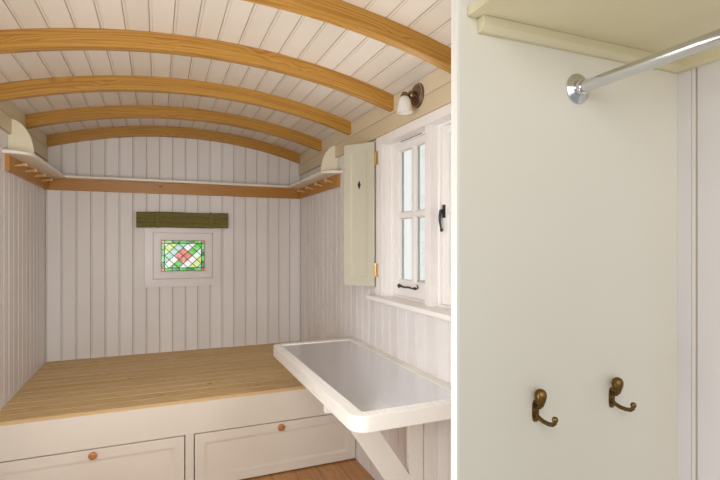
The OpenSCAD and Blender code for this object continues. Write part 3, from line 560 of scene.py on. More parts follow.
@dataclass(frozen=True)
class WovenCotton(Finish):
    """Plain-woven cotton canvas, washed: matt, with a thread relief and a slubby colour."""

    colour: str
    faded: str
    thread: float = 2.4 * MM

    def lay(self, tree: Tree, shader: Node) -> None:
        """Warp and weft cross at the thread spacing, three times coarser than the real 0.8 mm.

        Args:
            tree: The finish's node tree.
            shader: Its shader.
        """
        place = add(tree, "TexCoord").outputs["Object"]
        lines = []
        for axis in ("X", "Z"):
            inputs = {"Vector": place, "Scale": math.tau / (20 * self.thread), "Distortion": 0.6}
            wave = add(tree, "TexWave", inputs, wave_type="BANDS", bands_direction=axis)
            lines.append(wave.outputs["Fac"])
        weave = add(tree, "Math", {0: lines[0], 1: lines[1]}, operation="MULTIPLY").outputs[0]
        slub = add(tree, "TexNoise", {"Vector": place, "Scale": 60.0, "Detail": 6.0}).outputs["Fac"]
        share = add(tree, "Math", {0: weave, 1: 0.5, 2: slub}, operation="MULTIPLY_ADD").outputs[0]
        share = add(tree, "MapRange", {0: share, 1: 0.4, 2: 1.0}).outputs[0]
        tint = self.mixed(tree, share, (self.colour, self.faded))
        bump = add(tree, "Bump", {"Strength": 0.6, "Distance": 0.5 * MM, "Height": weave}).outputs[0]
        wire(tree, shader, {"Base Color": tint, "Normal": bump, "Roughness": 0.9})
        wire(tree, shader, {"Sheen Weight": 0.25, "Sheen Roughness": 0.5})


# Cream oil eggshell brushed on tongue-and-groove boards: an even pale coat with a soft sheen
WALL_PAINT = BrushedPaint("cream_eggshell_walls", "e9e5e4", "dbd5d1")
END_PAINT = BrushedPaint("cream_eggshell_end", "e9e4e1", "dbd4ce")
# The ceiling and the friezes take a darker, yellower cream than the walls: painted shade under the roof
CEILING_SHADED_PAINT = BrushedPaint("cream_eggshell_ceiling", "e6ded2", "d8cdbd", grain=Grain.ALONG_Y)
FRIEZE_SHADED_PAINT = BrushedPaint("cream_eggshell_friezes", "ddceb2", "d0bf9d", grain=Grain.ALONG_Y)
# White satin brushed on the window joinery: clean edges, glossier than the walls
WINDOW_PAINT = BrushedPaint("white_satin_joinery", "f3efec", "e6dfd9", roughness=0.32)
SASH_PAINT = BrushedPaint("white_satin_sash", "e6dfdb", "d9d0cb", grain=Grain.ALONG_X, roughness=0.34)
# Cream satin on shelves, bookends and bed: flat panels that catch the light softly
SHELF_PAINT = BrushedPaint("cream_satin_shelves", "efe9dc", "e2d9c6", grain=Grain.ALONG_X, roughness=0.36)
BOOKEND_PAINT = BrushedPaint("cream_satin_bookends", "efe6c9", "e3d7b2", roughness=0.4)
BED_PAINT = BrushedPaint("cream_satin_bed", "e3dbce", "d2c8b8", grain=Grain.ALONG_X, roughness=0.38)
# The table is rubbed down between coats, so its strokes are fine and almost flat
TABLE_PAINT = BrushedPaint(
    "cream_satin_table",
    "eeebe4",
    "e3dfd5",
    grain=Grain.ALONG_Y,
    roughness=0.3,
    stroke_w=3 * MM,
    relief=0.03 * MM,
)
# Grey-green satin on shutters and wardrobe, paler on the wardrobe and whitest on its lipping
SHUTTER_PAINT = BrushedPaint("celadon_satin_shutters", "c6c1ae", "bab59f", roughness=0.36)
WARDROBE_PAINT = BrushedPaint("pale_celadon_wardrobe", "ece6d7", "dfd7c3", roughness=0.36, drift=1200 * MM)
ROBE_SHELF_PAINT = BrushedPaint(
    "cream_satin_wardrobe_shelf", "e2d8b6", "d5c9a0", grain=Grain.ALONG_X, roughness=0.36
)
LIPPING_PAINT = BrushedPaint("pale_celadon_lipping", "f5f1e7", "e9e3d6", roughness=0.3)
# Sage oil paint on the outside cladding: duller, with joints darkened by dirt and painted shade
CLADDING_PAINT = BrushedPaint("sage_cladding", "c9cbb8", "b9bca6", joint="5d5d4c", roughness=0.5)
# Bows glued up of bent pine laminations, waxed to a golden colour
BOW_PINE = ClearTimber(
    "waxed_pine_bows", "c2933f", "9c6820", "4a2810", grain=Grain.ROUND_ROOF, ring=14 * MM, knot_run=260 * MM
)
# Shelf rails of knotty waxed pine, redder than the bows
RAIL_PINE_X = ClearTimber("waxed_pine_end_rail", "bb8334", "956019", "4f2911")
RAIL_PINE_Y = ClearTimber("waxed_pine_side_rails", "c48b3a", "9c661f", "4f2911", grain=Grain.ALONG_Y)
# Turned pegs of pale close-grained beech, and turned pine knobs
PEG_BEECH = ClearTimber("turned_beech_pegs", "dcb57e", "c2965a", "8a6234", ring=5 * MM, knot_run=900 * MM)
KNOB_PINE = ClearTimber("turned_pine_knobs", "c98a4a", "9c5f2a", "4f2911", grain=Grain.ALONG_Y, ring=6 * MM)
# Bare pine and birch ply, off the plane or the saw: pale and matt, with no coat
RAW_PINE_X = ClearTimber("planed_pine_slats", "dcc091", "c29c63", "7c5128", roughness=0.6, coat=0.0)
RAW_PINE_Y = ClearTimber(
    "sawn_pine_framing", "d3b585", "b9935d", "7c5128", grain=Grain.ALONG_Y, roughness=0.7, coat=0.0
)
DECK_PLY = ClearTimber(
    "birch_ply_deck",
    "cfae7c",
    "a98450",
    "8a6234",
    grain=Grain.ROUND_ROOF,
    ring=3 * MM,
    roughness=0.65,
    coat=0.0,
)
# Softwood under a dark stain, and oiled oak with a broad calm figure and a low gloss
BASE_TIMBER = ClearTimber(
    "stained_softwood_base", "5c4836", "3d2e22", "261b13", grain=Grain.ALONG_Y, roughness=0.6, coat=0.0
)
OAK_FLOOR = ClearTimber(
    "oiled_oak_floor",
    "c08a50",
    "946231",
    "4a2a12",
    grain=Grain.ALONG_Y,
    ring=16 * MM,
    figure=0.25,
    roughness=0.38,
    coat=0.25,
)
# Brass, polished on the hinges and browned by age on the hooks
BRASS = Metal("polished_brass_hinges", "d9bf86", "ae8f52", 0.26)
AGED_BRASS = Metal("aged_brass_hooks", "7a5f35", "46371f", 0.3, clouds=14 * MM)
# The lamp's brown bronze, and its satin nickel ring, which is paler and a little warm
BRONZE = Metal("antique_bronze_lamp", "8b7564", "5c4a3e", 0.27, clouds=22 * MM)
NICKEL = Metal("satin_nickel_lamp", "c9c4bc", "a49d94", 0.24)
# Chromed tube, the brightest mirror in the room, and steel sheet brushed along the table
CHROME = Metal("chromed_tube_rail", "d9dadd", "b5b7bb", 0.09, tarnished=0.3)
STEEL_SHEET = Metal("brushed_steel_inlay", "edeff2", "d2d3d6", 0.18, brushed=Grain.ALONG_Y)
# Zinc on the roof screws is grey and dull, and the lead of the cames is nearly black
ZINC = Metal("zinc_plated_screws", "b9bcc0", "8f9398", 0.3)
LEAD = Metal("lead_cames", "3a3d42", "1f2124", 0.45)
# Hammered iron under black enamel: a dark skin whose dents catch small lights. The vent slot and the
# shutter lozenges also take it, as painted shade
IRON = ForgedIron("black_enamelled_iron")
# Dark green factory-coated steel, dull and streaked by rain
ROOF_COAT = CoatedSheet("coated_steel_roof", "46524b", "5d675d")
# Drawn clear glass bends what is seen through it, and opal glass is milky with a soft gloss
CLEAR_GLASS = Glass("drawn_window_glass", "f6fbf8", relief=0.1 * MM)
OPAL_GLASS = Glass("opal_glass_shade", "f7f3ec", roughness=0.35, through=0.25)
# Washed cotton canvas in olive: matt and slubby
BLIND_CLOTH = WovenCotton("olive_cotton_blind", "645c2b", "857a3f")


class Shape:
    """Gathers the faces of one piece, and then makes the piece."""

    def __init__(self, seed: int = 1) -> None:
        """Starts an empty shape.

        Args:
            seed: Sets the tones of its boards.
        """
        self.bm = bmesh.new()
        self.tones = self.bm.verts.layers.float.new("tone")
        self.joints = self.bm.verts.layers.float.new("joint")
        self.draw = random.Random(seed)
        self.tone = 0.0

    def next_board(self) -> None:
        """Gives what is added from here on the tone of another board."""
        self.tone = self.draw.random()

    def vert(self, place: Place, joint: float = 0.0) -> bmesh.types.BMVert:
        """Adds a vertex.

        Args:
            place: Where it is.
            joint: 1 down in a joint between boards, 0 on their faces. It darkens the joint: partly dirt,
                partly painted shade.

        Returns:
            The vertex.
        """
        made = self.bm.verts.new(place)
        made[self.tones] = self.tone
        made[self.joints] = joint
        return made

    def loft(self, rings: Sequence[Sequence[Place]], closed: bool = False, caps: bool = True) -> None:
        """Joins rings of as many points each into a skin.

        Args:
            rings: The rings, in order. A ring of one point is a tip.
            closed: Whether the last ring joins the first.
            caps: Whether the first and last rings are filled.
        """
        made = [[self.vert(place) for place in ring] for ring in rings]
        pairs = [*pairwise(made), *([(made[-1], made[0])] if closed else [])]
        for low, high in pairs:
            count = max(len(low), len(high))
            for i in range(count):
                j = (i + 1) % count
                corners = [low[i % len(low)], low[j % len(low)], high[j % len(high)], high[i % len(high)]]
                self.bm.faces.new(list(dict.fromkeys(corners)))
        if caps and not closed:
            for ring in (made[0], made[-1]):
                if len(ring) > 2:
                    self.bm.faces.new(ring)

    def box(self, low: Place, high: Place) -> None:
        """Adds a box between two corners."""
        corners = [(low[0], low[1]), (high[0], low[1]), (high[0], high[1]), (low[0], high[1])]
        self.loft([[(x, y, z) for x, y in corners] for z in (low[2], high[2])])

    def prism(self, outline: Sequence[Place], run: Place) -> None:
        """Adds a flat outline drawn out along a run."""
        self.loft([outline, [tuple(a + b for a, b in zip(p, run)) for p in outline]])

    def lathe(self, profile: Outline, origin: Place, axis: Place, sides: int = 40) -> None:
        """Adds a turned piece.

        Args:
            profile: Radius and height pairs from the foot to the top.
            origin: The foot's middle.
            axis: Direction of the height.
            sides: Number of flats round it.
        """
        turn = Vector(axis).to_track_quat("Z", "Y").to_matrix()
        rings = []
        for radius, height in profile:
            count = sides if radius > NIL else 1
            spots = [
                (radius * math.cos(math.tau * i / count), radius * math.sin(math.tau * i / count), height)
                for i in range(count)
            ]
            rings.append([Vector(origin) + turn @ Vector(spot) for spot in spots])
        self.loft(rings)

    def tube(self, path: Sequence[Place], radii: Sequence[float], sides: int = 16) -> None:
        """Adds a round bar along a path.

        Args:
            path: The points of its middle line.
            radii: Its radius at each point.
            sides: Number of flats round it.
        """
        points = [Vector(place) for place in path]
        upright = abs((points[-1] - points[0]).normalized().z) > 0.9
        side = Vector((1.0, 0.0, 0.0) if upright else (0.0, 0.0, 1.0))
        turns = [math.tau * k / sides for k in range(sides)]
        rings = []
        for i, point in enumerate(points):
            ahead = (points[min(i + 1, len(points) - 1)] - points[max(i - 1, 0)]).normalized()
            across = ahead.cross(side).normalized()
            over = across.cross(ahead)
            rings.append([point + radii[i] * (across * math.cos(t) + over * math.sin(t)) for t in turns])
        self.loft(rings)

    def round_bar(self, outline: Outline, half: float, steps: int = 48) -> None:
        """Adds a bar bent to the roof's round and cut plumb at both ends.

        Args:
            outline: Cross-section, as radius and Y pairs.
            half: Sideways place of its ends.
            steps: Number of flats along it.
        """
        rings = []
        for i in range(steps + 1):
            share = 2 * i / steps - 1
            ring = []
            for radius, y in outline:
                angle = share * math.asin(half / radius)
                ring.append((radius * math.sin(angle), y, ROOM.centre_z + radius * math.cos(angle)))
            rings.append(ring)
        self.loft(rings)

    def mitred_frame(
        self,
        place: Callable[[float, float, float], Place],
        outer: tuple[float, float, float, float],
        section: Outline,
    ) -> None:
        """Adds a moulding round a rectangle, mitred at its corners.

        Args:
            place: Turns u, v and depth into a point.
            outer: Low u, low v, high u and high v of the moulding's outer edge.
            section: Cross-section, as pairs of distance in from the outer edge and depth.
        """
        u0, v0, u1, v1 = outer
        rings = []
        for u, v, du, dv in ((u0, v0, 1, 1), (u1, v0, -1, 1), (u1, v1, -1, -1), (u0, v1, 1, -1)):
            rings.append([place(u + du * step, v + dv * step, depth) for step, depth in section])
        self.loft(rings, closed=True)

    def boards(
        self,
        place: Callable[[float, float, float], Place],
        edges: Sequence[float],
        foot: float,
        top: Callable[[float], float],
        thick: float,
        joint: tuple[float, float],
        holes: Iterable[tuple[float, float, float, float]] = (),
        quirk: float = 0.0,
    ) -> None:
        """Adds boards side by side with a V joint between them, cut round holes.

        Args:
            place: Turns u across the boards, v along them and w out of their back into a point.
            edges: The u of each board's edge, in order.
            foot: The boards' low v.
            top: The boards' high v at a u.
            thick: Their thickness.
            joint: Width and depth of the chamfer on each long edge.
            holes: Low u, low v, high u and high v of each hole.
            quirk: Distance from a board's edge to the groove beside its bead, or 0 for none.
        """
        wide, deep = joint
        for u0, u1 in pairwise(edges):
            self.next_board()
            near = [hole for hole in holes if hole[0] < u1 and hole[2] > u0]
            cuts = [u for hole in near for u in (hole[0], hole[2]) if u0 < u < u1]
            bead = [u0 + quirk + step * QUIRK_W for step in (-1, 0, 1)] if quirk else []
            us = sorted({u0, u0 + wide, u1 - wide, u1, *cuts, *bead})
            vs = [foot, *sorted({v for hole in near for v in (hole[1], hole[3])}), None]
            grid = {}
            for i, u in enumerate(us):
                # sunk also sets how dark the joint and the quirk are: partly dirt, partly painted shade
                sunk = 1.0 if u in (u0, u1) else 0.0
                if bead and u == bead[1]:
                    sunk = QUIRK_SINK
                for k, v in enumerate(vs):
                    height = top(u) if v is None else v
                    grid[i, k, 0] = (place(u, height, 0.0), sunk)
                    grid[i, k, 1] = (place(u, height, thick - sunk * deep), sunk)
            spots: dict[tuple[int, int, int], bmesh.types.BMVert] = {}

            def solid(i: int, k: int) -> bool:
                """Whether a cell of the board is timber.

                Args:
                    i: The cell's number across the board.
                    k: The cell's number along it.

                Returns:
                    False in a hole and past the board.
                """
                if not (0 <= i < len(us) - 1 and 0 <= k < len(vs) - 1):
                    return False
                u = (us[i] + us[i + 1]) / 2
                high = top(u) if vs[k + 1] is None else vs[k + 1]
                v = (vs[k] + high) / 2
                return not any(h[0] < u < h[2] and h[1] < v < h[3] for h in near)

            def corner(key: tuple[int, int, int]) -> bmesh.types.BMVert:
                """The vertex at a corner of the grid, made once.

                Args:
                    key: The corner's numbers across, along and through the board.

                Returns:
                    The vertex.
                """
                if key not in spots:
                    spots[key] = self.vert(*grid[key])
                return spots[key]

            for i in range(len(us) - 1):
                for k in range(len(vs) - 1):
                    if not solid(i, k):
                        continue
                    quads = [[(i, k, w), (i + 1, k, w), (i + 1, k + 1, w), (i, k + 1, w)] for w in (0, 1)]
                    sides = {
                        (i - 1, k): [(i, k), (i, k + 1)],
                        (i + 1, k): [(i + 1, k), (i + 1, k + 1)],
                        (i, k - 1): [(i, k), (i + 1, k)],
                        (i, k + 1): [(i, k + 1), (i + 1, k + 1)],
                    }
                    for beside, (a, b) in sides.items():
                        if not solid(*beside):
                            quads.append([(*a, 0), (*b, 0), (*b, 1), (*a, 1)])
                    for quad in quads:
                        self.bm.faces.new([corner(key) for key in quad])

    def make(
        self,
        name: str,
        finish: Finish,
        body: Body = Body.HUT,
        bevel: float = 0.0,
        smooth: float = 32.0,
        stands_for: Sequence[str] = (),
    ) -> bpy.types.Object:
        """Makes the piece from the gathered faces.

        Args:
            name: The piece's name.
            finish: Its finish.
            body: The body that it rides on.
            bevel: Width of the rounding of its sharp edges.
            smooth: Edges under this many degrees are shaded smooth.
            stands_for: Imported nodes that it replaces.

        Returns:
            The piece.
        """
        bmesh.ops.recalc_face_normals(self.bm, faces=self.bm.faces)
        mesh = bpy.data.meshes.new(name)
        self.bm.to_mesh(mesh)
        self.bm.free()
        mesh.polygons.foreach_set("use_smooth", [True] * len(mesh.polygons))
        mesh.set_sharp_from_angle(angle=math.radians(smooth))
        mesh.materials.append(finish.material())
        piece = bpy.data.objects.new(name, mesh)
        bpy.context.scene.collection.objects.link(piece)
        if bevel:
            ease(piece, bevel)
        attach(piece, body.value)
        if stands_for:
            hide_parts(*stands_for)
        LOG.info("%s: %d faces", name, len(mesh.polygons))
        return piece


def ease(piece: bpy.types.Object, width: float) -> None:
    """Rounds a piece's sharp edges a little, as sandpaper does.

    Args:
        piece: The piece.
        width: Width of the rounding.
    """
    bevel = piece.modifiers.new("eased edges", "BEVEL")
    bevel.width = width
    bevel.segments = 2
    bevel.limit_method = "ANGLE"
    bevel.angle_limit = math.radians(35)
    bevel.harden_normals = True


def dress(node: str, finish: Finish, bevel: float = 0.0) -> bpy.types.Object:
    """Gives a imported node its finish, and eases its edges.

    Args:
        node: The node's name.
        finish: Its finish.
        bevel: Width of the rounding of its sharp edges.

    Returns:
        The node's object.
    """
    piece = frame["nodes"][node]
    piece.data.materials.clear()
    piece.data.materials.append(finish.material())
    if bevel:
        normals = piece.data.attributes.get("custom_normal")
        if normals is not None:
            piece.data.attributes.remove(normals)
        piece.data.polygons.foreach_set("use_smooth", [True] * len(piece.data.polygons))
        weld = piece.modifiers.new("welded corners", "WELD")
        weld.merge_threshold = HAIR
        flats = piece.modifiers.new("whole flats", "DECIMATE")
        flats.decimate_type = "DISSOLVE"
        flats.angle_limit = math.radians(0.5)
        ease(piece, bevel)
    LOG.info("%s: %s", node, finish.name)
    return piece


def spread(low: float, high: float, pitch: float) -> list[float]:
    """Edges of equal boards that fill a run, as near to a pitch as they fit.

    Args:
        low: Start of the run.
        high: End of the run.
        pitch: Wished board width.

    Returns:
        The edges, both ends included.
    """
    count = max(1, round((high - low) / pitch))
    return [low + (high - low) * i / count for i in range(count + 1)]


@dataclass
class SubAssembly:
    """One sub-assembly of the hut."""

    def build(self) -> None:
        """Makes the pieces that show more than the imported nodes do."""

    def dress(self) -> None:
        """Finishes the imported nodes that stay."""


@dataclass
class Floor(SubAssembly):
    """Base frame and floor boards, which run along the hut."""

    board_w: float = 140 * MM
    gap: float = 1.5 * MM
    groove: float = 2 * MM
    shortest: float = 0.4
    stagger: float = 0.67
    first: float = 0.9
    cycle: float = 2.4

    def build(self) -> None:
        """Lays the boards in two staggered lengths each."""
        low, high = box("floor_boards")
        shape = Shape(seed=3)
        edges = spread(low.x, high.x, self.board_w)
        for i, (x0, x1) in enumerate(pairwise(edges)):
            joint = low.y + (self.first + self.stagger * i) % self.cycle + self.shortest
            breaks = [low.y, joint, high.y]
            for y0, y1 in pairwise(breaks):
                shape.boards(
                    lambda u, v, w: (u, v, low.z + w),
                    [x0, x1],
                    y0 + (self.gap if y0 > low.y else 0.0),
                    lambda u, y1=y1: y1,
                    high.z - low.z,
                    (self.groove, self.groove),
                )
        shape.make("laid_floor_boards", OAK_FLOOR, stands_for=["floor_boards"])

    def dress(self) -> None:
        """Stains the base frame."""
        dress("floor_base", BASE_TIMBER, bevel=3 * MM)


@dataclass
class Walls(SubAssembly):
    """Linings, framing, outside cladding and friezes of the three walls."""

    cover: float = 93 * MM
    joint: tuple[float, float] = (3 * MM, 4 * MM)
    quirk: float = 11 * MM
    clad_cover: float = 119 * MM
    clad_t: float = 14 * MM
    clad_joint: tuple[float, float] = (6 * MM, 6 * MM)
    sash_w: float = 60 * MM

    def end_hole(self) -> tuple[float, float, float, float]:
        """The end window's hole: low X, low Z, high X and high Z."""
        low, high = box("end_window_glass")
        return (low.x - self.sash_w, low.z - self.sash_w, high.x + self.sash_w, high.z + self.sash_w)

    def side_hole(self) -> tuple[float, float, float, float]:
        """The side window's hole: low Y, low Z, high Y and high Z."""
        low, high = box("side_window_frame")
        return (low.y, low.z, high.y, high.z)

    def line(self) -> None:
        """Boards the three walls on the inside."""
        thick = ROOM.lining - ROOM.half
        brow = ROOM.under(ROOM.ceil_r, ROOM.lining)
        runs = spread(ROOM.near, ROOM.end, self.cover)
        for side in Side:
            shape = Shape(seed=11 + side.value)
            shape.boards(
                lambda u, v, w, sign=side.value: (sign * (ROOM.lining - w), u, v),
                runs,
                ROOM.floor,
                lambda u: brow,
                thick,
                self.joint,
                [self.side_hole()] if side is Side.RIGHT else [],
                self.quirk,
            )
            shape.make(side.of("lining_boards"), WALL_PAINT, stands_for=[side.of("lining")])
        shape = Shape(seed=14)
        shape.boards(
            lambda u, v, w: (u, ROOM.end + thick - w, v),
            spread(-ROOM.half, ROOM.half, self.cover),
            ROOM.floor,
            lambda u: ROOM.under(ROOM.ceil_r, u),
            thick,
            self.joint,
            [self.end_hole()],
            self.quirk,
        )
        shape.make("end_lining_boards", END_PAINT, stands_for=["end_lining"])

    def core(self, node: str, axis: int, face: float) -> None:
        """Makes a wall's framing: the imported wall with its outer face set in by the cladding.

        Args:
            node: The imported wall.
            axis: 0 where the wall faces along X, 1 where it faces along Y.
            face: Place of its outer face.
        """
        mesh = frame["nodes"][node].data.copy()
        for vert in mesh.vertices:
            if abs(vert.co[axis] - face) < HAIR:
                vert.co[axis] -= math.copysign(self.clad_t, face)
        mesh.materials.clear()
        mesh.materials.append(RAW_PINE_Y.material())
        piece = bpy.data.objects.new(node + "_framing", mesh)
        bpy.context.scene.collection.objects.link(piece)
        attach(piece, Body.HUT.value)
        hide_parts(node)

    def clad(self) -> None:
        """Boards the three walls on the outside."""
        foot = box("end_wall")[0].z
        brow = ROOM.under(ROOM.deck_r, ROOM.wall)
        back = ROOM.end + ROOM.lining - ROOM.half
        runs = spread(ROOM.near, back, self.clad_cover)
        for side in Side:
            self.core(side.of("wall"), 0, side.value * ROOM.wall)
            shape = Shape(seed=21 + side.value)
            shape.boards(
                lambda u, v, w, sign=side.value: (sign * (ROOM.wall - self.clad_t + w), u, v),
                runs,
                foot,
                lambda u: brow,
                self.clad_t,
                self.clad_joint,
                [self.side_hole()] if side is Side.RIGHT else [],
            )
            shape.make(side.of("wall_cladding"), CLADDING_PAINT)
        self.core("end_wall", 1, ROOM.end_out)
        shape = Shape(seed=24)
        shape.boards(
            lambda u, v, w: (u, ROOM.end_out - self.clad_t + w, v),
            spread(-ROOM.wall, ROOM.wall, self.clad_cover),
            foot,
            lambda u: ROOM.under(ROOM.deck_r, u),
            self.clad_t,
            self.clad_joint,
            [self.end_hole()],
        )
        shape.make("end_wall_cladding", CLADDING_PAINT)

    def build(self) -> None:
        """Boards the walls inside and outside."""
        self.line()
        self.clad()
        self.friezes()

    def friezes(self) -> None:
        """Boards the tops of the side walls lengthwise."""
        low, _ = box("friezes")
        brow = ROOM.under(ROOM.ceil_r, ROOM.half)
        thick = ROOM.half - box("lamp_mount")[1].x
        shape = Shape(seed=27)
        for side in Side:
            shape.boards(
                lambda u, v, w, sign=side.value: (sign * (ROOM.half - w), v, u),
                spread(low.z, brow, self.cover),
                ROOM.near,
                lambda u: ROOM.end,
                thick,
                self.joint,
            )
        # The friezes' darker, yellower cream is painted shade under the roof
        shape.make("frieze_boards", FRIEZE_SHADED_PAINT, stands_for=["friezes"])


@dataclass
class Roof(SubAssembly):
    """Ceiling boards, laminated bows, deck and corrugated sheet."""

    cover: float = 93 * MM
    joint: float = 4 * MM
    quirk: float = 11 * MM
    laminations: int = 3
    chamfer: float = 1.4 * MM
    wave: float = 76 * MM
    wave_h: float = 16 * MM
    sheet_t: float = 1.2 * MM
    wave_steps: int = 10
    round_steps: int = 40
    screw: Outline = in_mm((7, -2), (7, -1.2), (4, -0.8), (3.6, -0.2), (0, 0))
    purlins: int = 5
    purlin_reach: float = 0.92
    screw_every: int = 3

    def ceiling(self) -> None:
        """Boards the ceiling lengthwise, round the roof."""
        low, high = box("ceiling_boards")
        limit = math.asin(high.x / ROOM.ceil_r)
        turn = 0.75 * self.joint / ROOM.ceil_r
        shape = Shape(seed=31)
        angles = spread(-limit, limit, self.cover / ROOM.ceil_r)
        sunk = ROOM.ceil_r + self.joint
        quirk = ROOM.ceil_r + self.joint * QUIRK_SINK
        for a0, a1 in pairwise(angles):
            shape.next_board()
            bead = [a0 + (self.quirk + step * QUIRK_W) / ROOM.ceil_r for step in (-1, 0, 1)]
            # The third number of each point darkens the joints and the quirk: partly dirt, partly painted
            # shade
            section = [
                (ROOM.deck_r, a0, 0.0),
                (sunk, a0, 1.0),
                (ROOM.ceil_r, a0 + turn, 0.0),
                (ROOM.ceil_r, bead[0], 0.0),
                (quirk, bead[1], QUIRK_SINK),
                (ROOM.ceil_r, bead[2], 0.0),
                (ROOM.ceil_r, a1 - turn, 0.0),
                (sunk, a1, 1.0),
                (ROOM.deck_r, a1, 0.0),
            ]
            rings = []
            for y in (low.y, high.y):
                rings.append([(r * math.sin(a), y, ROOM.centre_z + r * math.cos(a)) for r, a, _ in section])
            before = len(shape.bm.verts)
            shape.loft(rings)
            shape.bm.verts.ensure_lookup_table()
            for k, vert in enumerate(shape.bm.verts[before:]):
                vert[shape.joints] = section[k % len(section)][2]
        # The ceiling's yellower cream is painted shade under the roof
        name = "lengthwise_ceiling_boards"
        shape.make(name, CEILING_SHADED_PAINT, stands_for=["ceiling_boards"])

    def bows(self) -> None:
        """Bends each bow from glued laminations."""
        deep = (ROOM.ceil_r - ROOM.bow_r) / self.laminations
        c = self.chamfer
        for number in range(1, 8):
            node = f"bow_{number}"
            low, high = box(node)
            y0, y1 = low.y, high.y
            shape = Shape(seed=40 + number)
            for i in range(self.laminations):
                shape.next_board()
                r0 = ROOM.bow_r + i * deep
                r1 = r0 + deep
                outline = [(r0, y0 + c), (r0 + c, y0), (r1 - c, y0), (r1, y0 + c)]
                outline += [(r1, y1 - c), (r1 - c, y1), (r0 + c, y1), (r0, y1 - c)]
                shape.round_bar(outline, high.x)
            shape.make(f"laminated_{node}", BOW_PINE, stands_for=[node])

    def waves(self) -> int:
        """Number of whole waves along the sheet."""
        low, high = box("roof_sheet")
        return math.floor((high.y - low.y) / self.wave)

    def reach(self) -> float:
        """Angle from the ridge to the sheet's edge."""
        _, high = box("roof_sheet")
        return math.asin(high.x / (high.z - ROOM.centre_z))

    def sheet_place(self, wave: float, turn: float, lift: float) -> Place:
        """A point of the corrugated sheet.

        Args:
            wave: Distance along the hut, in waves from the open end.
            turn: Angle round the roof.
            lift: Height over the sheet's underside.

        Returns:
            The point.
        """
        low, high = box("roof_sheet")
        base = high.z - ROOM.centre_z - self.wave_h - self.sheet_t
        radius = base + self.wave_h / 2 * (1 - math.cos(math.tau * wave)) + lift
        y = low.y + (high.y - low.y) * wave / self.waves()
        return (radius * math.sin(turn), y, ROOM.centre_z + radius * math.cos(turn))

    def sheet(self) -> None:
        """Rolls the corrugated sheet over the deck."""
        count = self.waves() * self.wave_steps
        rings = []
        for k in range(self.round_steps + 1):
            turn = self.reach() * (2 * k / self.round_steps - 1)
            under = [self.sheet_place(i / self.wave_steps, turn, 0.0) for i in range(count + 1)]
            over = [self.sheet_place(i / self.wave_steps, turn, self.sheet_t) for i in range(count, -1, -1)]
            rings.append(under + over)
        shape = Shape(seed=51)
        shape.loft(rings, caps=False)
        bm = shape.bm
        bm.verts.ensure_lookup_table()
        row = len(rings[0])
        for start in (0, len(bm.verts) - row):
            ends = bm.verts[start : start + row]
            for i in range(row // 2 - 1):
                bm.faces.new([ends[i], ends[i + 1], ends[row - 2 - i], ends[row - 1 - i]])
        shape.make("corrugated_roof_sheet", ROOF_COAT, stands_for=["roof_sheet"], smooth=60)

    def screws(self) -> None:
        """Drives a row of screws through the sheet's crests into each purlin."""
        screws = Shape(seed=52)
        for k in range(self.purlins):
            turn = self.reach() * self.purlin_reach * (2 * k / (self.purlins - 1) - 1)
            for trough in range(1, self.waves(), self.screw_every):
                foot = self.sheet_place(trough + 0.5, turn, self.sheet_t)
                screws.lathe(self.screw, foot, (math.sin(turn), 0.0, math.cos(turn)), sides=8)
        screws.make("roof_screws", ZINC, smooth=50)

    def build(self) -> None:
        """Makes the roof from the inside out."""
        self.ceiling()
        self.bows()
        self.sheet()
        self.screws()

    def dress(self) -> None:
        """Shows the deck's plywood."""
        dress("roof_deck", DECK_PLY)


class Tint(Enum):
    """The glasses of the leaded panel."""

    LEAF = "57c832"
    FOREST = "1f8a34"
    WATER = "a9dcc9"
    MILK = "f6f7ef"
    LEMON = "dcec7a"
    CORAL = "e2603c"


Flat = list[tuple[float, float]]
Pane = tuple[Tint, Flat]


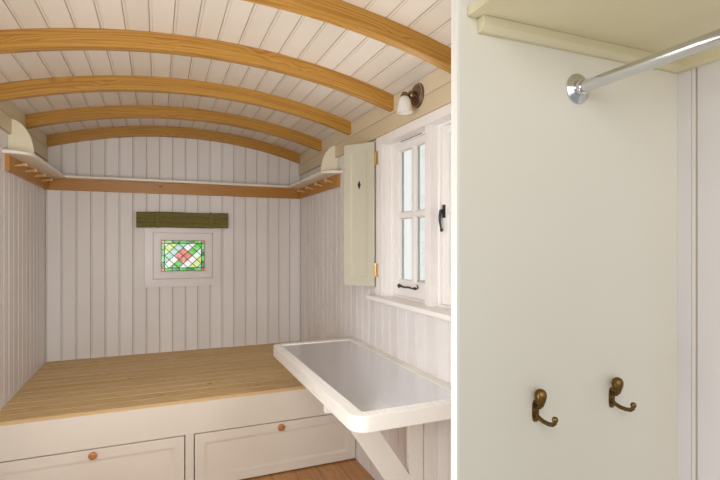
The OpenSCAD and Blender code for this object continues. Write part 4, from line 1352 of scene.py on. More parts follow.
@dataclass
class EndWindow(SubAssembly):
    """Small fixed light with leaded glass, its frame, and the blind folded up over it."""

    border: float = 24 * MM
    across: int = 4
    down: int = 3
    came_w: float = 5 * MM
    inner_came: float = 0.9
    glass_t: float = 3 * MM
    bead: float = 9 * MM
    head_pitch: float = 55 * MM
    side_pitch: float = 49 * MM
    field: tuple[Tint, ...] = (Tint.MILK, Tint.WATER, Tint.LEMON, Tint.MILK, Tint.LEAF)
    bead_out: float = 19 * MM
    blind_layers: int = 4
    blind_in: float = 2 * MM
    top_tucks: tuple[float, ...] = (3 * MM, 5 * MM)
    foot_tucks: tuple[float, ...] = (4 * MM, 7 * MM, 10 * MM)
    belly: float = 2.5 * MM
    pleats: int = 3
    pleat_h: float = 9 * MM
    pleat_round: float = 0.6
    columns: int = 90
    sag: float = 1.5 * MM
    sag_turns: float = 9.0
    ripple: float = 1 * MM
    ripple_turns: float = 17.0
    ripple_climb: float = 40.0
    cloth_t: float = 0.8 * MM
    tape_w: float = 26 * MM
    tape_t: float = 1.5 * MM
    tape_shares: tuple[float, float] = (0.22, 0.8)
    pinch: float = 5 * MM

    def on_glass(self, u: float, v: float, depth: float) -> Place:
        """A point on the leaded panel: u and v from its low corner, depth from its middle."""
        low, high = box("end_window_glass")
        return (low.x + u, (low.y + high.y) / 2 - depth, low.z + v)

    def border_panes(self) -> list[Pane]:
        """The short pieces round the edge.

        Returns:
            Each pane's glass and outline.
        """
        low, high = box("end_window_glass")
        w, h, b = high.x - low.x, high.z - low.z, self.border
        found = [(Tint.CORAL, u, v, u + b, v + b) for u in (0.0, w - b) for v in (0.0, h - b)]
        for i, (u0, u1) in enumerate(pairwise(spread(b, w - b, self.head_pitch))):
            found += [(Tint.FOREST if i % 2 else Tint.LEAF, u0, v, u1, v + b) for v in (0.0, h - b)]
        for i, (v0, v1) in enumerate(pairwise(spread(b, h - b, self.side_pitch))):
            found += [(Tint.LEAF if i % 2 else Tint.FOREST, u, v0, u + b, v1) for u in (0.0, w - b)]
        return [(tint, [(u0, v0), (u1, v0), (u1, v1), (u0, v1)]) for tint, u0, v0, u1, v1 in found]

    def field_panes(self) -> list[Pane]:
        """The field of diamonds, with a flower of four in its middle.

        Returns:
            Each pane's glass and outline.
        """
        low, high = box("end_window_glass")
        w, h, b = high.x - low.x, high.z - low.z, self.border
        half_w = (w - 2 * b) / self.across / 2
        half_h = (h - 2 * b) / self.down / 2
        panes = []
        for i in range(2 * self.across + 1):
            for k in range(i % 2, 2 * self.down + 1, 2):
                u, v = b + i * half_w, b + k * half_h
                diamond = [(u - half_w, v), (u, v - half_h), (u + half_w, v), (u, v + half_h)]
                kept = self.clipped(diamond, (b, b, w - b, h - b))
                petal = abs(i - self.across) + abs(k - self.down) == 1
                shade = Tint.CORAL if petal else self.field[(i * 2 + k * 3) % len(self.field)]
                if len(kept) > 2:
                    panes.append((shade, kept))
        return panes

    @staticmethod
    def clipped(outline: Flat, limits: tuple[float, float, float, float]) -> Flat:
        """Cuts a convex outline to a rectangle.

        Args:
            outline: The outline's points.
            limits: Low u, low v, high u and high v of the rectangle.

        Returns:
            The points of what is left.
        """
        for edge, limit in enumerate(limits):
            axis, sign = edge % 2, 1 if edge < 2 else -1
            kept = []
            for i, point in enumerate(outline):
                after = outline[(i + 1) % len(outline)]
                here, there = sign * (point[axis] - limit), sign * (after[axis] - limit)
                if here >= -NIL:
                    kept.append(point)
                if min(here, there) < -NIL and max(here, there) > NIL:
                    share = here / (here - there)
                    kept.append(tuple(p + (q - p) * share for p, q in zip(point, after)))
            outline = kept
        return outline

    def glaze(self) -> None:
        """Sets the panes, one piece for each glass, and leads them together."""
        panes = [*self.border_panes(), *self.field_panes()]
        for number, tint in enumerate(Tint):
            shape = Shape(seed=60 + number)
            for shade, outline in panes:
                if shade is tint:
                    shape.next_board()
                    back = [self.on_glass(u, v, -self.glass_t / 2) for u, v in outline]
                    shape.prism(back, (0.0, -self.glass_t, 0.0))
            glass = Glass(f"{tint.name.lower()}_antique_glass", tint.value, roughness=0.12, wave=30 * MM)
            stands_for = ["end_window_glass"] if tint is Tint.MILK else []
            shape.make(f"{tint.name.lower()}_panes", glass, stands_for=stands_for)
        self.lead(panes)

    def lead(self, panes: list[Pane]) -> None:
        """Runs a lead came along each edge of the panes, deeper round the panel's own edge.

        Args:
            panes: The panes.
        """
        low, high = box("end_window_glass")
        w, h = high.x - low.x, high.z - low.z
        deep = (high.y - low.y) / 2
        cames = Shape(seed=70)
        done: set[tuple[int, ...]] = set()
        for start, stop in [pair for _, outline in panes for pair in pairwise([*outline, outline[0]])]:
            mark = tuple(round((a + b) / MM) for a, b in zip(start, stop))
            if mark in done:
                continue
            done.add(mark)
            run = Vector(stop) - Vector(start)
            side = Vector((-run.y, run.x)).normalized() * self.came_w / 2
            corners = [Vector(start) + side, Vector(stop) + side, Vector(stop) - side, Vector(start) - side]
            inside = [(min(max(p.x, 0.0), w), min(max(p.y, 0.0), h)) for p in corners]
            thick = deep * (1.0 if 0.0 in (*start, *stop) else self.inner_came)
            cames.prism([self.on_glass(u, v, -thick) for u, v in inside], (0.0, -2 * thick, 0.0))
        cames.make("lead_cames", LEAD, bevel=0.7 * MM)

    def blind_path(self) -> Flat:
        """The cloth's run down and up through the folds, from the back to the front fold.

        Returns:
            Y and Z of each point.
        """
        low, high = box("window_blind")
        gap = (high.y - low.y - self.pleat_h - 2 * self.blind_in) / (self.blind_layers - 1)
        path: Flat = []
        for layer in range(self.blind_layers):
            y = high.y - self.blind_in - gap * layer
            top = high.z - self.top_tucks[layer % len(self.top_tucks)]
            foot = low.z + self.foot_tucks[layer % len(self.foot_tucks)]
            start, stop = (top, foot) if layer % 2 == 0 else (foot, top)
            front = layer == self.blind_layers - 1
            steps = 24 if front else 6
            for share in [i / steps for i in range(steps + 1)]:
                belly = math.sin(math.pi * share) * self.belly
                if front:
                    belly = self.pleat_h * abs(math.sin(self.pleats * math.pi * share)) ** self.pleat_round
                path.append((y - belly, start + (stop - start) * share))
        return path

    def blind(self) -> None:
        """Folds the blind: cloth laid over and under itself, held up by two tapes."""
        low, high = box("window_blind")
        wide = high.x - low.x
        path = self.blind_path()
        shape = Shape(seed=81)
        phases = [shape.draw.uniform(0, math.tau) for _ in range(2)]
        tapes_x = [low.x + wide * share for share in self.tape_shares]
        made = []
        for y, z in path:
            row = []
            for x in [low.x + wide * i / self.columns for i in range(self.columns + 1)]:
                sag = self.sag * math.sin(self.sag_turns * x / wide + phases[0])
                turn = self.ripple_turns * x / wide + phases[1] + self.ripple_climb * z
                pinch = sum(math.exp(-(((x - tape) / self.tape_w) ** 2)) for tape in tapes_x)
                out = y + self.ripple * math.sin(turn) + self.pinch * pinch
                out = min(max(out, low.y + 2 * MM), high.y - MM)
                row.append(shape.vert((x, out, min(max(z + sag, low.z), high.z))))
            made.append(row)
        for upper, lower in pairwise(made):
            for i in range(self.columns):
                shape.bm.faces.new([upper[i], upper[i + 1], lower[i + 1], lower[i]])
        stands_for = ["window_blind"]
        cloth = shape.make("folded_blind", BLIND_CLOTH, stands_for=stands_for, smooth=80)
        thick = cloth.modifiers.new("cloth thickness", "SOLIDIFY")
        thick.thickness = self.cloth_t
        tapes = Shape(seed=83)
        front = low.y + self.pinch
        half = self.tape_w / 2
        for x in tapes_x:
            tapes.box((x - half, front - self.tape_t, low.z + MM), (x + half, front, high.z - MM))
        tape = tapes.make("blind_tapes", BLIND_CLOTH, bevel=0.5 * MM)

    def build(self) -> None:
        """Makes the glass, its bead and the blind."""
        self.glaze()
        low, high = box("end_window_glass")
        shape = Shape(seed=90)
        edge = (low.x - self.bead, low.z - self.bead, high.x + self.bead, high.z + self.bead)
        face = low.y - self.bead_out
        section = [*in_mm((0, 0), (0, 3), (3, 5)), (self.bead, 1 * MM), (self.bead, -4 * MM)]
        shape.mitred_frame(lambda u, v, depth: (u, face - depth, v), edge, section)
        shape.make("end_window_bead", SASH_PAINT, smooth=50)
        self.blind()

    def dress(self) -> None:
        """Paints the frame and shows the batten's bare wood."""
        dress("end_window_frame", SASH_PAINT, bevel=1.8 * MM)
        dress("blind_batten", RAW_PINE_X, bevel=1.5 * MM)


@dataclass
class SideWindow(SubAssembly):
    """Pair of casements in their frame, with glass, ironmongery and a vent in the head."""

    bead: float = 8 * MM
    vent_from: float = 1811 * MM
    vent_to: float = 2034 * MM
    vent_out: float = 14 * MM
    vent_drop: float = 7 * MM
    vent_h: float = 4 * MM
    bar_w: float = 26 * MM
    stile_w: float = 58 * MM
    foot_rail: float = 80 * MM
    head_rail: float = 44 * MM
    iron_in: float = 11 * MM
    stay_out: float = 10 * MM
    stay_pitch: float = 12 * MM
    stay_points: int = 18
    stay_r: float = 5.5 * MM
    stay_taper: float = 0.12 * MM
    stay_wave: float = 1.5 * MM
    curl_r: float = 9 * MM
    curl_wire: float = 3.6 * MM
    curl_taper: float = 0.25 * MM
    pins: tuple[float, float] = (26 * MM, 186 * MM)
    pin: tuple[float, float, float] = (8 * MM, 8 * MM, 7 * MM)
    button: Outline = in_mm((0, 0), (11, 0), (11, 6), (8, 9), (0, 10))
    tail_drop: float = 32 * MM
    tail_plate: tuple[float, float, float] = (4 * MM, 11 * MM, 30 * MM)
    tail_pivot: Outline = in_mm((0, 0), (10, 0), (8, 10), (8, 20), (0, 22))
    tail_out: float = 18 * MM
    tail_l: float = 92 * MM
    tail_rise: float = 6 * MM
    tail_r: float = 7 * MM
    tail_taper: float = 3 * MM
    tail_ball: Outline = in_mm((0, 0), (7, 2), (9, 7), (6, 12), (0, 14))

    def panes(self, node: str) -> list[tuple[float, float, float, float]]:
        """The four panes of a light.

        Args:
            node: The light.

        Returns:
            Low Y, low Z, high Y and high Z of each pane.
        """
        low, high = box(node)
        pane_w = (high.y - low.y - 2 * self.stile_w - self.bar_w) / 2
        pane_h = (high.z - low.z - self.foot_rail - self.head_rail - self.bar_w) / 2
        ys = [low.y + self.stile_w + i * (pane_w + self.bar_w) for i in range(2)]
        zs = [low.z + self.foot_rail + k * (pane_h + self.bar_w) for k in range(2)]
        return [(y, z, y + pane_w, z + pane_h) for y in ys for z in zs]

    def beads(self) -> None:
        """Runs a small moulding round every pane, on the room side of the glass."""
        shape = Shape(seed=95)
        glass_face = box("casement_glass")[0].x
        light_face = box("left_casement")[0].x
        deep = glass_face - light_face - 2 * MM
        section = [(-1 * MM, 0.0), (-1 * MM, deep), (2 * MM, deep), (self.bead, 2 * MM), (self.bead, 0.0)]
        for node in ("left_casement", "right_casement"):
            for pane in self.panes(node):
                shape.mitred_frame(lambda u, v, depth: (glass_face - depth, u, v), pane, section)
        shape.make("glazing_beads", WINDOW_PAINT, smooth=50)

    def vent(self) -> None:
        """Lays a thin black box on the head for the vent's slot: painted shade, with nothing cut."""
        light = box("left_casement")
        face = light[0].x - self.vent_out
        shape = Shape(seed=96)
        y1, y0 = ROOM.end - self.vent_from, ROOM.end - self.vent_to
        z = light[1].z - self.vent_drop
        # The black iron finish here is painted shade for the inside of the slot
        shape.box((face - 0.6 * MM, y0, z), (face + 2 * MM, y1, z + self.vent_h))
        shape.make("vent_slot", IRON, bevel=0.3 * MM)

    def plate(self, shape: Shape, y: float, z: float, size: tuple[float, float, float]) -> None:
        """Adds a plate on the casements' face.

        Args:
            shape: The shape to add to.
            y: Lengthways place of its middle.
            z: Height of its middle.
            size: How far it stands out, and half its width and height.
        """
        face = box("left_casement")[0].x
        out, wide, tall = size
        shape.box((face - out, y - wide, z - tall), (face, y + wide, z + tall))

    def stay(self, shape: Shape) -> None:
        """Adds the stay: a tapered, lightly waved bar with a curled end, its two pins and its button.

        Args:
            shape: The shape to add to.
        """
        low, high = box("casement_ironmongery")
        face = box("left_casement")[0].x
        out = face - self.stay_out
        z = low.z + self.iron_in
        links = range(self.stay_points)
        path = [
            (out, high.y - (i + 1) * self.stay_pitch, z + self.stay_wave * math.sin(0.8 * i)) for i in links
        ]
        shape.tube(path, [self.stay_r - self.stay_taper * i for i in links])
        _, tip_y, tip_z = path[-1]
        turns = [0.5 * i for i in range(8)]
        curl = [
            (out, tip_y - self.curl_r * math.sin(a), tip_z + self.curl_r * (1 - math.cos(a))) for a in turns
        ]
        shape.tube(curl, [self.curl_wire - self.curl_taper * i for i in range(len(turns))])
        for along in self.pins:
            self.plate(shape, high.y - along, z, self.pin)
        shape.lathe(self.button, (face, high.y - self.iron_in, z), (-1, 0, 0))

    def fastener(self, shape: Shape) -> None:
        """Adds the monkey-tail fastener: plate, pivot, and the tail that ends in a ball.

        Args:
            shape: The shape to add to.
        """
        low, high = box("casement_ironmongery")
        face = box("left_casement")[0].x
        mid = low.y + self.iron_in
        head = high.z - self.tail_drop
        self.plate(shape, mid, head, self.tail_plate)
        shape.lathe(self.tail_pivot, (face, mid, head), (-1, 0, 0))
        shares = [i / 14 for i in range(15)]
        tail = []
        for share in shares:
            x = face - self.tail_out - 4 * MM * math.sin(math.pi * share)
            y = mid + 5 * MM * math.sin(4.2 * share)
            tail.append((x, y, head + self.tail_rise - self.tail_l * share))
        shape.tube(tail, [self.tail_r - self.tail_taper * share for share in shares])
        x, y, z = tail[-1]
        shape.lathe(self.tail_ball, (x + self.tail_r, y, z), (-1, 0, 0))

    def ironmongery(self) -> None:
        """Forges the stay and the fastener."""
        shape = Shape(seed=97)
        self.stay(shape)
        self.fastener(shape)
        shape.make(
            "forged_window_furniture", IRON, bevel=1 * MM, stands_for=["casement_ironmongery"]
        )

    def build(self) -> None:
        """Makes the mouldings, the vent and the ironmongery."""
        self.beads()
        self.vent()
        self.ironmongery()

    def dress(self) -> None:
        """Paints the joinery, clears the glass and polishes the shutters' fixed plates."""
        dress("shutter_hinge_plates", BRASS)
        dress("side_window_frame", WINDOW_PAINT, bevel=1.5 * MM)
        dress("side_window_architrave", WINDOW_PAINT, bevel=3 * MM)
        dress("window_board", WINDOW_PAINT, bevel=5 * MM)
        dress("left_casement", WINDOW_PAINT, bevel=2.5 * MM)
        dress("right_casement", WINDOW_PAINT, bevel=2.5 * MM)
        dress("casement_glass", CLEAR_GLASS)


@dataclass
class ShutterLeaf(SubAssembly):
    """One panelled shutter leaf with its moulding, a black lozenge of painted shade where a cut-out would
    be, and brass hinges.
    """

    side: Side
    body: Body
    rest: float = 33.0
    leaf_gap: float = 7 * MM
    clear: float = 1 * MM
    width: float = 213 * MM
    rail: float = 48 * MM
    moulding: float = 10 * MM
    sink: float = 5 * MM
    lozenge: tuple[float, float] = (11 * MM, 26 * MM)
    lozenge_at: float = 0.29

    def at(self, u: float, v: float, depth: float) -> Place:
        """A point on the leaf's room face.

        Args:
            u: Distance out from the pin.
            v: Height over the ground.
            depth: Distance out of the face, towards the room.

        Returns:
            The point.
        """
        hinge = self.side.of("shutter_hinge")
        pin = next(joint["pos_m"] for joint in frame["joints"] if joint["name"] == hinge)
        angle = math.radians(90 + self.rest)
        x = u * math.cos(angle) - (depth - self.clear) * math.sin(angle)
        y = u * math.sin(angle) + (depth - self.clear) * math.cos(angle)
        return (pin[0] + x, pin[1] - self.side.value * y, v)

    def build(self) -> None:
        """Makes the panel moulding and the lozenge."""
        low, high = box(self.side.of("shutter"))
        edge = (
            self.leaf_gap + self.rail,
            low.z + self.rail,
            self.leaf_gap + self.width - self.rail,
            high.z - self.rail,
        )
        floor = -self.sink
        section = [(0.0, floor), *in_mm((0, -1), (3, -1.5), (6, -3.5)), (self.moulding, floor)]
        shape = Shape(seed=101)
        shape.mitred_frame(self.at, edge, section)
        shape.make(self.side.of("shutter_moulding"), SHUTTER_PAINT, self.body, smooth=50)
        # The lozenge is a black sheet set in the panel: painted shade that stands for a cut-out
        lozenge = Shape(seed=102)
        u = self.leaf_gap + self.width / 2
        v = high.z - (high.z - low.z) * self.lozenge_at
        wide, tall = self.lozenge
        points = [(u - wide, v), (u, v - tall), (u + wide, v), (u, v + tall)]
        front = [self.at(a, b, floor + 0.6 * MM) for a, b in points]
        back = [self.at(a, b, floor - 0.5 * MM) for a, b in points]
        lozenge.loft([back, front])
        lozenge.make(self.side.of("shutter_lozenge"), IRON, self.body)

    def dress(self) -> None:
        """Paints the leaf and polishes its hinges."""
        dress(self.side.of("shutter"), SHUTTER_PAINT, bevel=1.8 * MM)
        dress(self.side.of("shutter_hinges"), BRASS)


@dataclass
class WallLamp(SubAssembly):
    """Reading lamp on the frieze: round bronze base, nickel ring and opal bell.

    The rose and its ring are given as shares of the rose's radius and millimetres out from the wall.
    """

    rose_rim: Outline = ((0, 0), (1, 0), (1, 6), (0.93, 9), (0.86, 10))
    rose_dome: Outline = ((0.84, 14), (0.72, 19), (0.5, 22), (0, 22))
    ring: Outline = ((0.86, 9.5), (0.96, 9.5), (0.97, 11.5), (0.9, 13), (0.86, 12))
    barrel: Outline = in_mm((0, 18), (18, 20), (19, 24), (19, 44), (16, 48), (8, 50), (7, 54))
    arm_r: float = 7 * MM
    arm_past: float = 4 * MM
    arm_tip: float = 2 * MM
    gallery: Outline = in_mm((0, -1), (20, -1), (20, 3), (16, 7), (14, 16), (11, 20), (0, 20))
    bell_steps: int = 16
    bell_sides: int = 64
    shoulder: float = 0.16
    taper: float = 0.42
    flutes: int = 8
    flute_d: float = 1.2 * MM
    wall_t: float = 3 * MM

    def build(self) -> None:
        """Turns the base and blows the bell."""
        low, high = box("lamp_mount")
        shade_low, shade_high = box("lamp_shade")
        x = (shade_low.x + shade_high.x) / 2
        y = (low.y + high.y) / 2
        r = (high.y - low.y) / 2
        foot = (high.x, y, high.z - r)
        base = Shape(seed=111)
        rose = [(r * share, out * MM) for share, out in (*self.rose_rim, *self.rose_dome)]
        base.lathe(rose, foot, (-1, 0, 0), sides=64)
        arm = high.x - x + self.arm_past
        barrel = [*self.barrel, (self.arm_r, arm), (0, arm + self.arm_tip)]
        base.lathe(barrel, foot, (-1, 0, 0))
        base.lathe(self.gallery, (x, y, shade_high.z), (0, 0, 1), sides=48)
        base.make("bronze_lamp_base", BRONZE, bevel=0.6 * MM, stands_for=["lamp_mount"])
        ring = Shape(seed=112)
        band = [(r * share, out * MM) for share, out in (*self.ring, self.ring[0])]
        ring.lathe(band, foot, (-1, 0, 0), sides=64)
        ring.make("nickel_lamp_ring", NICKEL, smooth=50)
        self.bell(x, y)

    def bell(self, x: float, y: float) -> None:
        """Makes the opal shade, its rim gently fluted.

        Args:
            x: Sideways place of its middle.
            y: Lengthways place of its middle.
        """
        low, high = box("lamp_shade")
        rim_r = (high.x - low.x) / 2
        outer = []
        for share in [i / self.bell_steps for i in range(self.bell_steps + 1)]:
            swell = math.sin(min(share * 3.2, math.pi / 2))
            outer.append((rim_r * (1.0 - self.shoulder * swell - self.taper * share**3), share))
        inner = [(radius - self.wall_t, share) for radius, share in reversed(outer)]
        rings = []
        for radius, share in [*outer, *inner]:
            wave = 0.0 if share > 0.5 else self.flute_d * (1 - 2 * share)
            ring = []
            for turn in [math.tau * k / self.bell_sides for k in range(self.bell_sides)]:
                out = radius - wave * (1 - math.cos(self.flutes * turn))
                height = low.z + (high.z - low.z) * share
                ring.append((x + out * math.cos(turn), y + out * math.sin(turn), height))
            rings.append(ring)
        shape = Shape(seed=113)
        shape.loft(rings, closed=True)
        shape.make("opal_lamp_bell", OPAL_GLASS, smooth=60, stands_for=["lamp_shade"])


@dataclass
class WallTable(SubAssembly):
    """Table leaf with its steel inlay on a ledger, and the swinging bracket under it."""

    plug: Outline = in_mm((0, 0), (5, 0), (4.4, 0.8), (0, 1))
    plug_in: float = 45 * MM
    plug_beside: float = 15 * MM
    plug_up: float = 40 * MM
    plug_down: float = 90 * MM

    def build(self) -> None:
        """Adds the plugs over the screws of the wall batten."""
        low, high = box("table_battens")
        shape = Shape(seed=121)
        x = high.x - self.plug_in
        y = box("table_bracket")[1].y - self.plug_beside
        for z in (low.z + self.plug_up, (low.z + high.z) / 2, high.z - self.plug_down):
            shape.lathe(self.plug, (x, y, z), (-1, 0, 0), sides=20)
        shape.make("batten_screw_plugs", TABLE_PAINT)

    def dress(self) -> None:
        """Paints the wood and brushes the steel."""
        dress("table_leaf", TABLE_PAINT, bevel=4 * MM)
        dress("table_steel", STEEL_SHEET, bevel=0.4 * MM)
        dress("table_bracket", TABLE_PAINT, bevel=1.5 * MM)
        dress("table_battens", TABLE_PAINT, bevel=1.5 * MM)


@dataclass
class BoxBed(SubAssembly):
    """Bed frame with two panelled drawers, turned knobs and a slatted deck.

    A knob's profile is given as shares of its radius and of its length.
    """

    slats: int = 13
    slat_gap: float = 12 * MM
    rail: float = 52 * MM
    moulding: Outline = in_mm((0, -6), (0, -0.5), (4, -1), (6, -3), (9, -3), (12, -5), (14, -6))
    knob_foot: Outline = ((0, 0), (0.62, 0), (0.6, 0.08), (0.42, 0.22), (0.42, 0.4), (0.7, 0.55))
    knob_head: Outline = ((0.96, 0.66), (1, 0.76), (0.93, 0.88), (0.7, 0.97), (0, 1))

    def deck(self) -> None:
        """Lays the slats across the bed."""
        low, high = box("bed_deck")
        shape = Shape(seed=131)
        edges = spread(low.y, high.y, (high.y - low.y) / self.slats)
        for y0, y1 in pairwise(edges):
            shape.next_board()
            front = y0 if y0 == edges[0] else y0 + self.slat_gap / 2
            back = y1 if y1 == edges[-1] else y1 - self.slat_gap / 2
            shape.box((low.x, front, low.z), (high.x, back, high.z))
        shape.make("bed_slats", RAW_PINE_X, bevel=1.5 * MM, stands_for=["bed_deck"])

    def front(self, side: Side, body: Body) -> None:
        """Moulds a drawer's panel and turns its knob.

        Args:
            side: Which drawer.
            body: The body that it rides on.
        """
        low, high = box(side.of("drawer"))
        shape = Shape(seed=132)
        edge = (low.x + self.rail, low.z + self.rail, high.x - self.rail, high.z - self.rail)
        shape.mitred_frame(lambda u, v, depth: (u, low.y - depth, v), edge, self.moulding)
        shape.make(side.of("drawer_moulding"), BED_PAINT, body, smooth=50)
        node = side.of("drawer_knob")
        low, high = box(node)
        middle = ((low.x + high.x) / 2, high.y, (low.z + high.z) / 2)
        r, length = (high.x - low.x) / 2, high.y - low.y
        knob = Shape(seed=133)
        profile = [(r * wide, length * out) for wide, out in (*self.knob_foot, *self.knob_head)]
        knob.lathe(profile, middle, (0, -1, 0), sides=40)
        name = f"turned_{side.of('knob')}"
        knob.make(name, KNOB_PINE, body, smooth=60, stands_for=[node])

    def build(self) -> None:
        """Makes the slats, mouldings and knobs."""
        self.deck()
        self.front(Side.LEFT, Body.LEFT_DRAWER)
        self.front(Side.RIGHT, Body.RIGHT_DRAWER)

    def dress(self) -> None:
        """Paints the frame and the drawers."""
        dress("bed_frame", BED_PAINT, bevel=2 * MM)
        dress("left_drawer", BED_PAINT, bevel=1.5 * MM)
        dress("right_drawer", BED_PAINT, bevel=1.5 * MM)


@dataclass
class Shelves(SubAssembly):
    """Shelf round the end of the hut, its rails with pegs, and the bookends on it."""

    rail_t: float = 20 * MM
    peg_first: float = 210 * MM
    peg_pitch: float = 230 * MM
    pegs: int = 4
    peg_tilt: float = 10.0
    peg_stem: Outline = in_mm((6, 0), (6, 30), (6.4, 37), (9, 45))
    peg_bulb: Outline = in_mm((12, 52), (12.3, 55), (12, 58), (9, 61), (5, 62))
    peg_l: float = 62.5 * MM
    proud: float = 0.4 * MM

    def build(self) -> None:
        """Turns the pegs of both side rails, a little proud of the rails' own."""
        turned = [(r + self.proud, out) for r, out in (*self.peg_stem, *self.peg_bulb)]
        profile = [(0, 0), *turned, (0, self.peg_l)]
        tilt = math.radians(self.peg_tilt)
        for side in Side:
            sign = side.value
            low, high = box(side.of("peg_rail"))
            shape = Shape(seed=150 + sign)
            for number in range(self.pegs):
                shape.next_board()
                y = ROOM.end - self.peg_first - number * self.peg_pitch
                foot = (sign * (ROOM.half - self.rail_t), y, (low.z + high.z) / 2)
                shape.lathe(profile, foot, (-sign * math.cos(tilt), 0.0, math.sin(tilt)), sides=28)
            shape.make(side.of("turned_pegs"), PEG_BEECH, smooth=60)

    def dress(self) -> None:
        """Paints the shelves and waxes the rails."""
        for node in ("end_shelf", "left_shelf", "right_shelf"):
            dress(node, SHELF_PAINT, bevel=3 * MM)
        dress("end_shelf_rail", RAIL_PINE_X, bevel=2 * MM)
        dress("left_peg_rail", RAIL_PINE_Y, bevel=1.5 * MM)
        dress("right_peg_rail", RAIL_PINE_Y, bevel=1.5 * MM)
        dress("bookends", BOOKEND_PAINT, bevel=2.5 * MM)


@dataclass
class Wardrobe(SubAssembly):
    """Panel with its lipping, shelf on battens, hanging rail and coat hooks.

    A hook's stem and prong are given as distances out from the panel and up from the plate's middle.
    """

    lipping_w: float = 6 * MM
    lipping_out: float = 1.5 * MM
    proud: float = 0.6 * MM
    head_gap: float = 2 * MM
    screw: Outline = in_mm((0, 0), (4.5, 0), (4.5, 0.5), (3.6, 0.9), (0, 1.1))
    screw_places: tuple[float, ...] = (0.42, 0.6, 0.78)
    screw_drop: float = 11 * MM
    batten_t: float = 20 * MM
    collar_ring: Outline = in_mm((12.6, 4), (16, 4.2), (16.5, 6), (16.5, 18), (15.5, 20), (12.6, 20.5))
    collar_turns: tuple[float, ...] = (90.0, 210.0, 330.0)
    collar_r: float = 24 * MM
    collar_t: float = 4 * MM
    hook_in: float = 12 * MM
    hook_wire: float = 4.4 * MM
    hook_plate: tuple[float, float] = (16 * MM, 44 * MM)
    plate_t: float = 3 * MM
    plate_round: tuple[float, float] = (0.5, 0.7)
    stem: Outline = in_mm((2, 10), (8, 9.5), (13, 11), (16, 15))
    prong: Outline = in_mm((2, -6), (10, -11), (22, -14.5), (36, -15), (47, -13), (53, -8), (54, -1))
    acorn_at: tuple[float, float] = (16 * MM, 13 * MM)
    acorn_cup: Outline = in_mm((0, 0), (5.5, 0), (6, 2), (8, 7), (10.8, 15))
    acorn_nut: Outline = in_mm((12, 22), (11.2, 28), (8.5, 32.5), (4.5, 35), (0, 36))
    ball_at: tuple[float, float] = (54 * MM, -6 * MM)
    ball: Outline = in_mm((0, 0), (4.4, 0.6), (6, 4), (5.6, 8), (3.4, 10.6), (0, 11.4))

    def lipping(self) -> None:
        """Lips the panel's free edge."""
        low, high = box("wardrobe_panel")
        top = ROOM.under(ROOM.ceil_r, low.x) - self.head_gap
        edge = (low.x - self.lipping_out, low.y - self.proud, low.z)
        shape = Shape(seed=141)
        shape.box(edge, (low.x + self.lipping_w, high.y + self.proud, top))
        shape.make("wardrobe_lipping", LIPPING_PAINT, bevel=1 * MM)

    def screws(self) -> None:
        """Drives the screws of the batten under the shelf."""
        face = box("wardrobe_panel")[0].y - self.batten_t
        height = box("wardrobe_battens")[1].z - self.screw_drop
        shape = Shape(seed=142)
        for x in self.screw_places:
            shape.lathe(self.screw, (x, face, height), (0, -1, 0), sides=20)
        shape.make("batten_screws", ROBE_SHELF_PAINT)

    def collar(self) -> None:
        """Turns the collar of the hanging rail and drives its three screws."""
        low, high = box("hanging_rail")
        x, z = (low.x + high.x) / 2, (low.z + high.z) / 2
        shape = Shape(seed=143)
        shape.lathe([*self.collar_ring, self.collar_ring[0]], (x, high.y, z), (0, -1, 0))
        for turn in [math.radians(turn) for turn in self.collar_turns]:
            across, up = self.collar_r * math.cos(turn), self.collar_r * math.sin(turn)
            shape.lathe(self.screw, (x + across, high.y - self.collar_t, z + up), (0, -1, 0), sides=16)
        shape.make("rail_collar", CHROME, smooth=50)

    def hook(self, shape: Shape, foot: Vector) -> None:
        """Adds one hook: plate, acorn on its stem, and the swept prong with its ball.

        Args:
            shape: The shape to add to.
            foot: Middle of the plate's back.
        """
        wide, tall = self.hook_plate
        by_x, by_z = self.plate_round
        plate = []
        for turn in [math.tau * k / 24 for k in range(24)]:
            x = math.copysign(abs(math.cos(turn)) ** by_x, math.cos(turn)) * wide / 2
            z = math.copysign(abs(math.sin(turn)) ** by_z, math.sin(turn)) * tall / 2
            plate.append((foot.x + x, foot.y, foot.z + z))
        shape.prism(plate, (0.0, -self.plate_t, 0.0))
        for path in (self.stem, self.prong):
            spots = [foot + Vector((0.0, -out, up)) for out, up in path]
            shape.tube(spots, [self.hook_wire] * len(spots))
        ends = ((self.acorn_at, (*self.acorn_cup, *self.acorn_nut), 32), (self.ball_at, self.ball, 24))
        for (out, up), profile, sides in ends:
            shape.lathe(profile, foot + Vector((0.0, -out, up)), (0, 0, 1), sides=sides)

    def hooks(self) -> None:
        """Makes the pair of coat hooks."""
        low, high = box("coat_hooks")
        centre_z = low.z + self.hook_plate[1] / 2
        shape = Shape(seed=144)
        for x in (low.x + self.hook_in, high.x - self.hook_in):
            self.hook(shape, Vector((x, high.y, centre_z)))
        shape.make("acorn_coat_hooks", AGED_BRASS, smooth=50, stands_for=["coat_hooks"])

    def build(self) -> None:
        """Adds the lipping, the batten's screws, the rail's collar and the hooks."""
        self.lipping()
        self.screws()
        self.collar()
        self.hooks()

    def dress(self) -> None:
        """Paints the joinery and polishes the rail."""
        dress("wardrobe_panel", WARDROBE_PAINT, bevel=1 * MM)
        dress("wardrobe_shelf", ROBE_SHELF_PAINT, bevel=2 * MM)
        dress("wardrobe_battens", ROBE_SHELF_PAINT, bevel=1.5 * MM)
        dress("hanging_rail", CHROME)


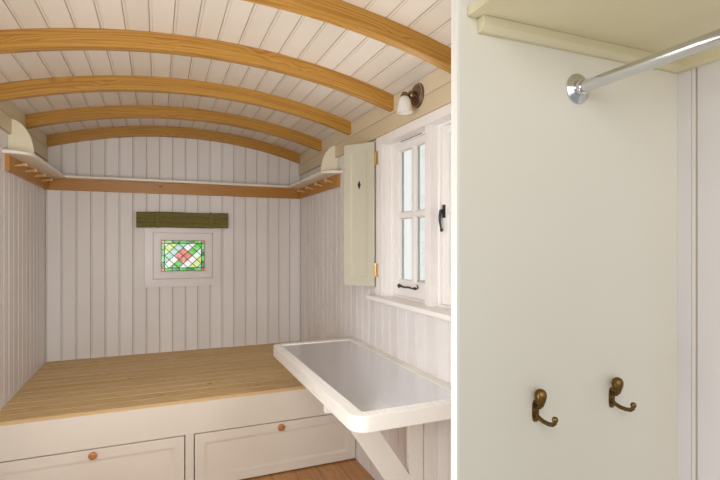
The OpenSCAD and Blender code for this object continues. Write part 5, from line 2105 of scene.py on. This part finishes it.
@dataclass(frozen=True)
class SoftLamp:
    """A rectangular lamp that lights the hut and isn't seen itself."""

    name: str
    place: Place
    aim: Place
    size: tuple[float, float]
    watts: float

    def hang(self) -> None:
        """Hangs the lamp and aims it."""
        data = bpy.data.lights.new(self.name, "AREA")
        data.shape = "RECTANGLE"
        data.size, data.size_y = self.size
        data.energy = self.watts
        made = bpy.data.objects.new(self.name, data)
        made.location = self.place
        made.rotation_euler = (Vector(self.aim) - Vector(self.place)).to_track_quat("-Z", "Y").to_euler()
        made.visible_camera = False
        made.visible_transmission = False
        bpy.context.scene.collection.objects.link(made)


@dataclass
class Studio(SubAssembly):
    """Pale floor and light, and a camera where the photograph was taken."""

    lens: float = 24.0
    sensor: float = 36.0
    eye: tuple[float, float, float] = (-0.199, -2.3455, 1.461)
    heading: float = 22.8
    horizon_px: float = 3.0
    floor_half: float = 14.0
    fade_from: float = 3.0
    fade_to: float = 9.0
    floor_colour: str = "e4e4e2"
    pale: str = "fbfcfb"
    daylight: str = "f4f6fa"
    sky: float = 0.4
    lamps: tuple[SoftLamp, ...] = (
        # Daylight from the open end and at the side window
        SoftLamp("door_light", (-0.6, -4.4, 1.9), (0.0, 1.0, 1.2), (3.0, 2.4), 19.0),
        SoftLamp("window_light", (0.89, -0.42, 1.6), (-1.0, -0.42, 1.6), (0.85, 0.75), 4.5),
        # Light that the pale walls and floor of the room give back
        SoftLamp("room_light", (-0.45, -1.2, 1.5), (0.9, 0.6, 1.2), (1.0, 0.9), 12.0),
        SoftLamp("low_light", (-0.5, -1.5, 1.0), (0.9, 0.4, 0.7), (0.5, 0.5), 8.5),
        SoftLamp("near_light", (-0.3, -2.7, 2.0), (0.5, -1.0, 1.8), (0.6, 0.6), 6.0),
        # The two sides of the hut, outside
        SoftLamp("left_light", (-6.0, -1.0, 4.5), (0.0, 0.0, 1.2), (4.0, 4.0), 220.0),
        SoftLamp("right_light", (5.0, 5.0, 4.5), (0.0, 0.0, 1.2), (4.0, 4.0), 170.0),
    )

    def camera(self) -> None:
        """Sets the camera up at the photograph's viewing angle."""
        data = bpy.data.cameras.new("camera")
        data.lens = self.lens
        data.sensor_width = self.sensor
        data.shift_y = self.horizon_px / PHOTO_W
        made = bpy.data.objects.new("camera", data)
        made.location = self.eye
        made.rotation_euler = (math.radians(90), 0.0, math.radians(-self.heading))
        bpy.context.scene.collection.objects.link(made)
        bpy.context.scene.camera = made

    def ground(self) -> None:
        """Lays the floor, which fades into the pale background away from the hut, for the camera alone."""
        mesh = bpy.data.meshes.new("studio_floor")
        half = self.floor_half
        corners = [(-half, -half, 0), (half, -half, 0), (half, half, 0), (-half, half, 0)]
        mesh.from_pydata(corners, [], [(0, 1, 2, 3)])
        floor = bpy.data.objects.new("studio_floor", mesh)
        material = bpy.data.materials.new("studio_floor")
        material.use_nodes = True
        tree = material.node_tree
        shader = tree.nodes["Principled BSDF"]
        wire(tree, shader, {"Base Color": linear(self.floor_colour), "Roughness": 0.9})
        place = add(tree, "TexCoord").outputs["Object"]
        away = add(tree, "VectorMath", {0: place}, operation="LENGTH").outputs["Value"]
        fade = {0: away, 1: self.fade_from, 2: self.fade_to, 3: 0.0, 4: 1.0}
        far = add(tree, "MapRange", fade).outputs[0]
        seen = add(tree, "LightPath").outputs["Is Camera Ray"]
        share = add(tree, "Math", {0: far, 1: seen}, operation="MULTIPLY").outputs[0]
        haze = add(tree, "Emission", {"Color": linear(self.pale), "Strength": 1.0}).outputs[0]
        mixed = add(tree, "MixShader", {0: share, 1: shader.outputs[0], 2: haze}).outputs[0]
        wire(tree, tree.nodes["Material Output"], {"Surface": mixed})
        mesh.materials.append(material)
        bpy.context.scene.collection.objects.link(floor)

    def background(self) -> None:
        """Sets a world that gives soft daylight, and that camera, metal and glass see as pale."""
        world = bpy.data.worlds.new("studio")
        bpy.context.scene.world = world
        world.use_nodes = True
        tree = world.node_tree
        tree.nodes.clear()
        path = add(tree, "LightPath").outputs
        seen = path["Is Camera Ray"]
        for kind in ("Is Glossy Ray", "Is Transmission Ray"):
            seen = add(tree, "Math", {0: seen, 1: path[kind]}, operation="MAXIMUM").outputs[0]
        light = add(tree, "Background", {"Color": linear(self.daylight), "Strength": self.sky}).outputs[0]
        pale = add(tree, "Background", {"Color": linear(self.pale), "Strength": 1.0}).outputs[0]
        mixed = add(tree, "MixShader", {0: seen, 1: light, 2: pale}).outputs[0]
        add(tree, "OutputWorld", {"Surface": mixed})

    @staticmethod
    def clear() -> None:
        """Takes out the objects of Blender's start-up file."""
        for name in ("Cube", "Light", "Camera"):
            found = bpy.data.objects.get(name)
            if found is not None:
                bpy.data.objects.remove(found)

    def build(self) -> None:
        """Sets the whole studio up."""
        self.clear()
        self.camera()
        self.ground()
        self.background()
        for lamp in self.lamps:
            lamp.hang()
        bpy.context.scene.view_settings.view_transform = "Standard"


def main() -> None:
    """Builds the studio and the hut in order."""
    logging.basicConfig(level=logging.INFO, format="%(message)s")
    parts: list[SubAssembly] = [
        Studio(),
        Floor(),
        Walls(),
        Roof(),
        Shelves(),
        EndWindow(),
        SideWindow(),
        ShutterLeaf(Side.LEFT, Body.LEFT_SHUTTER),
        ShutterLeaf(Side.RIGHT, Body.RIGHT_SHUTTER),
        WallLamp(),
        WallTable(),
        BoxBed(),
        Wardrobe(),
    ]
    for part in parts:
        LOG.info("%s", type(part).__name__)
        part.build()
        part.dress()


if __name__ == "__main__":
    main()
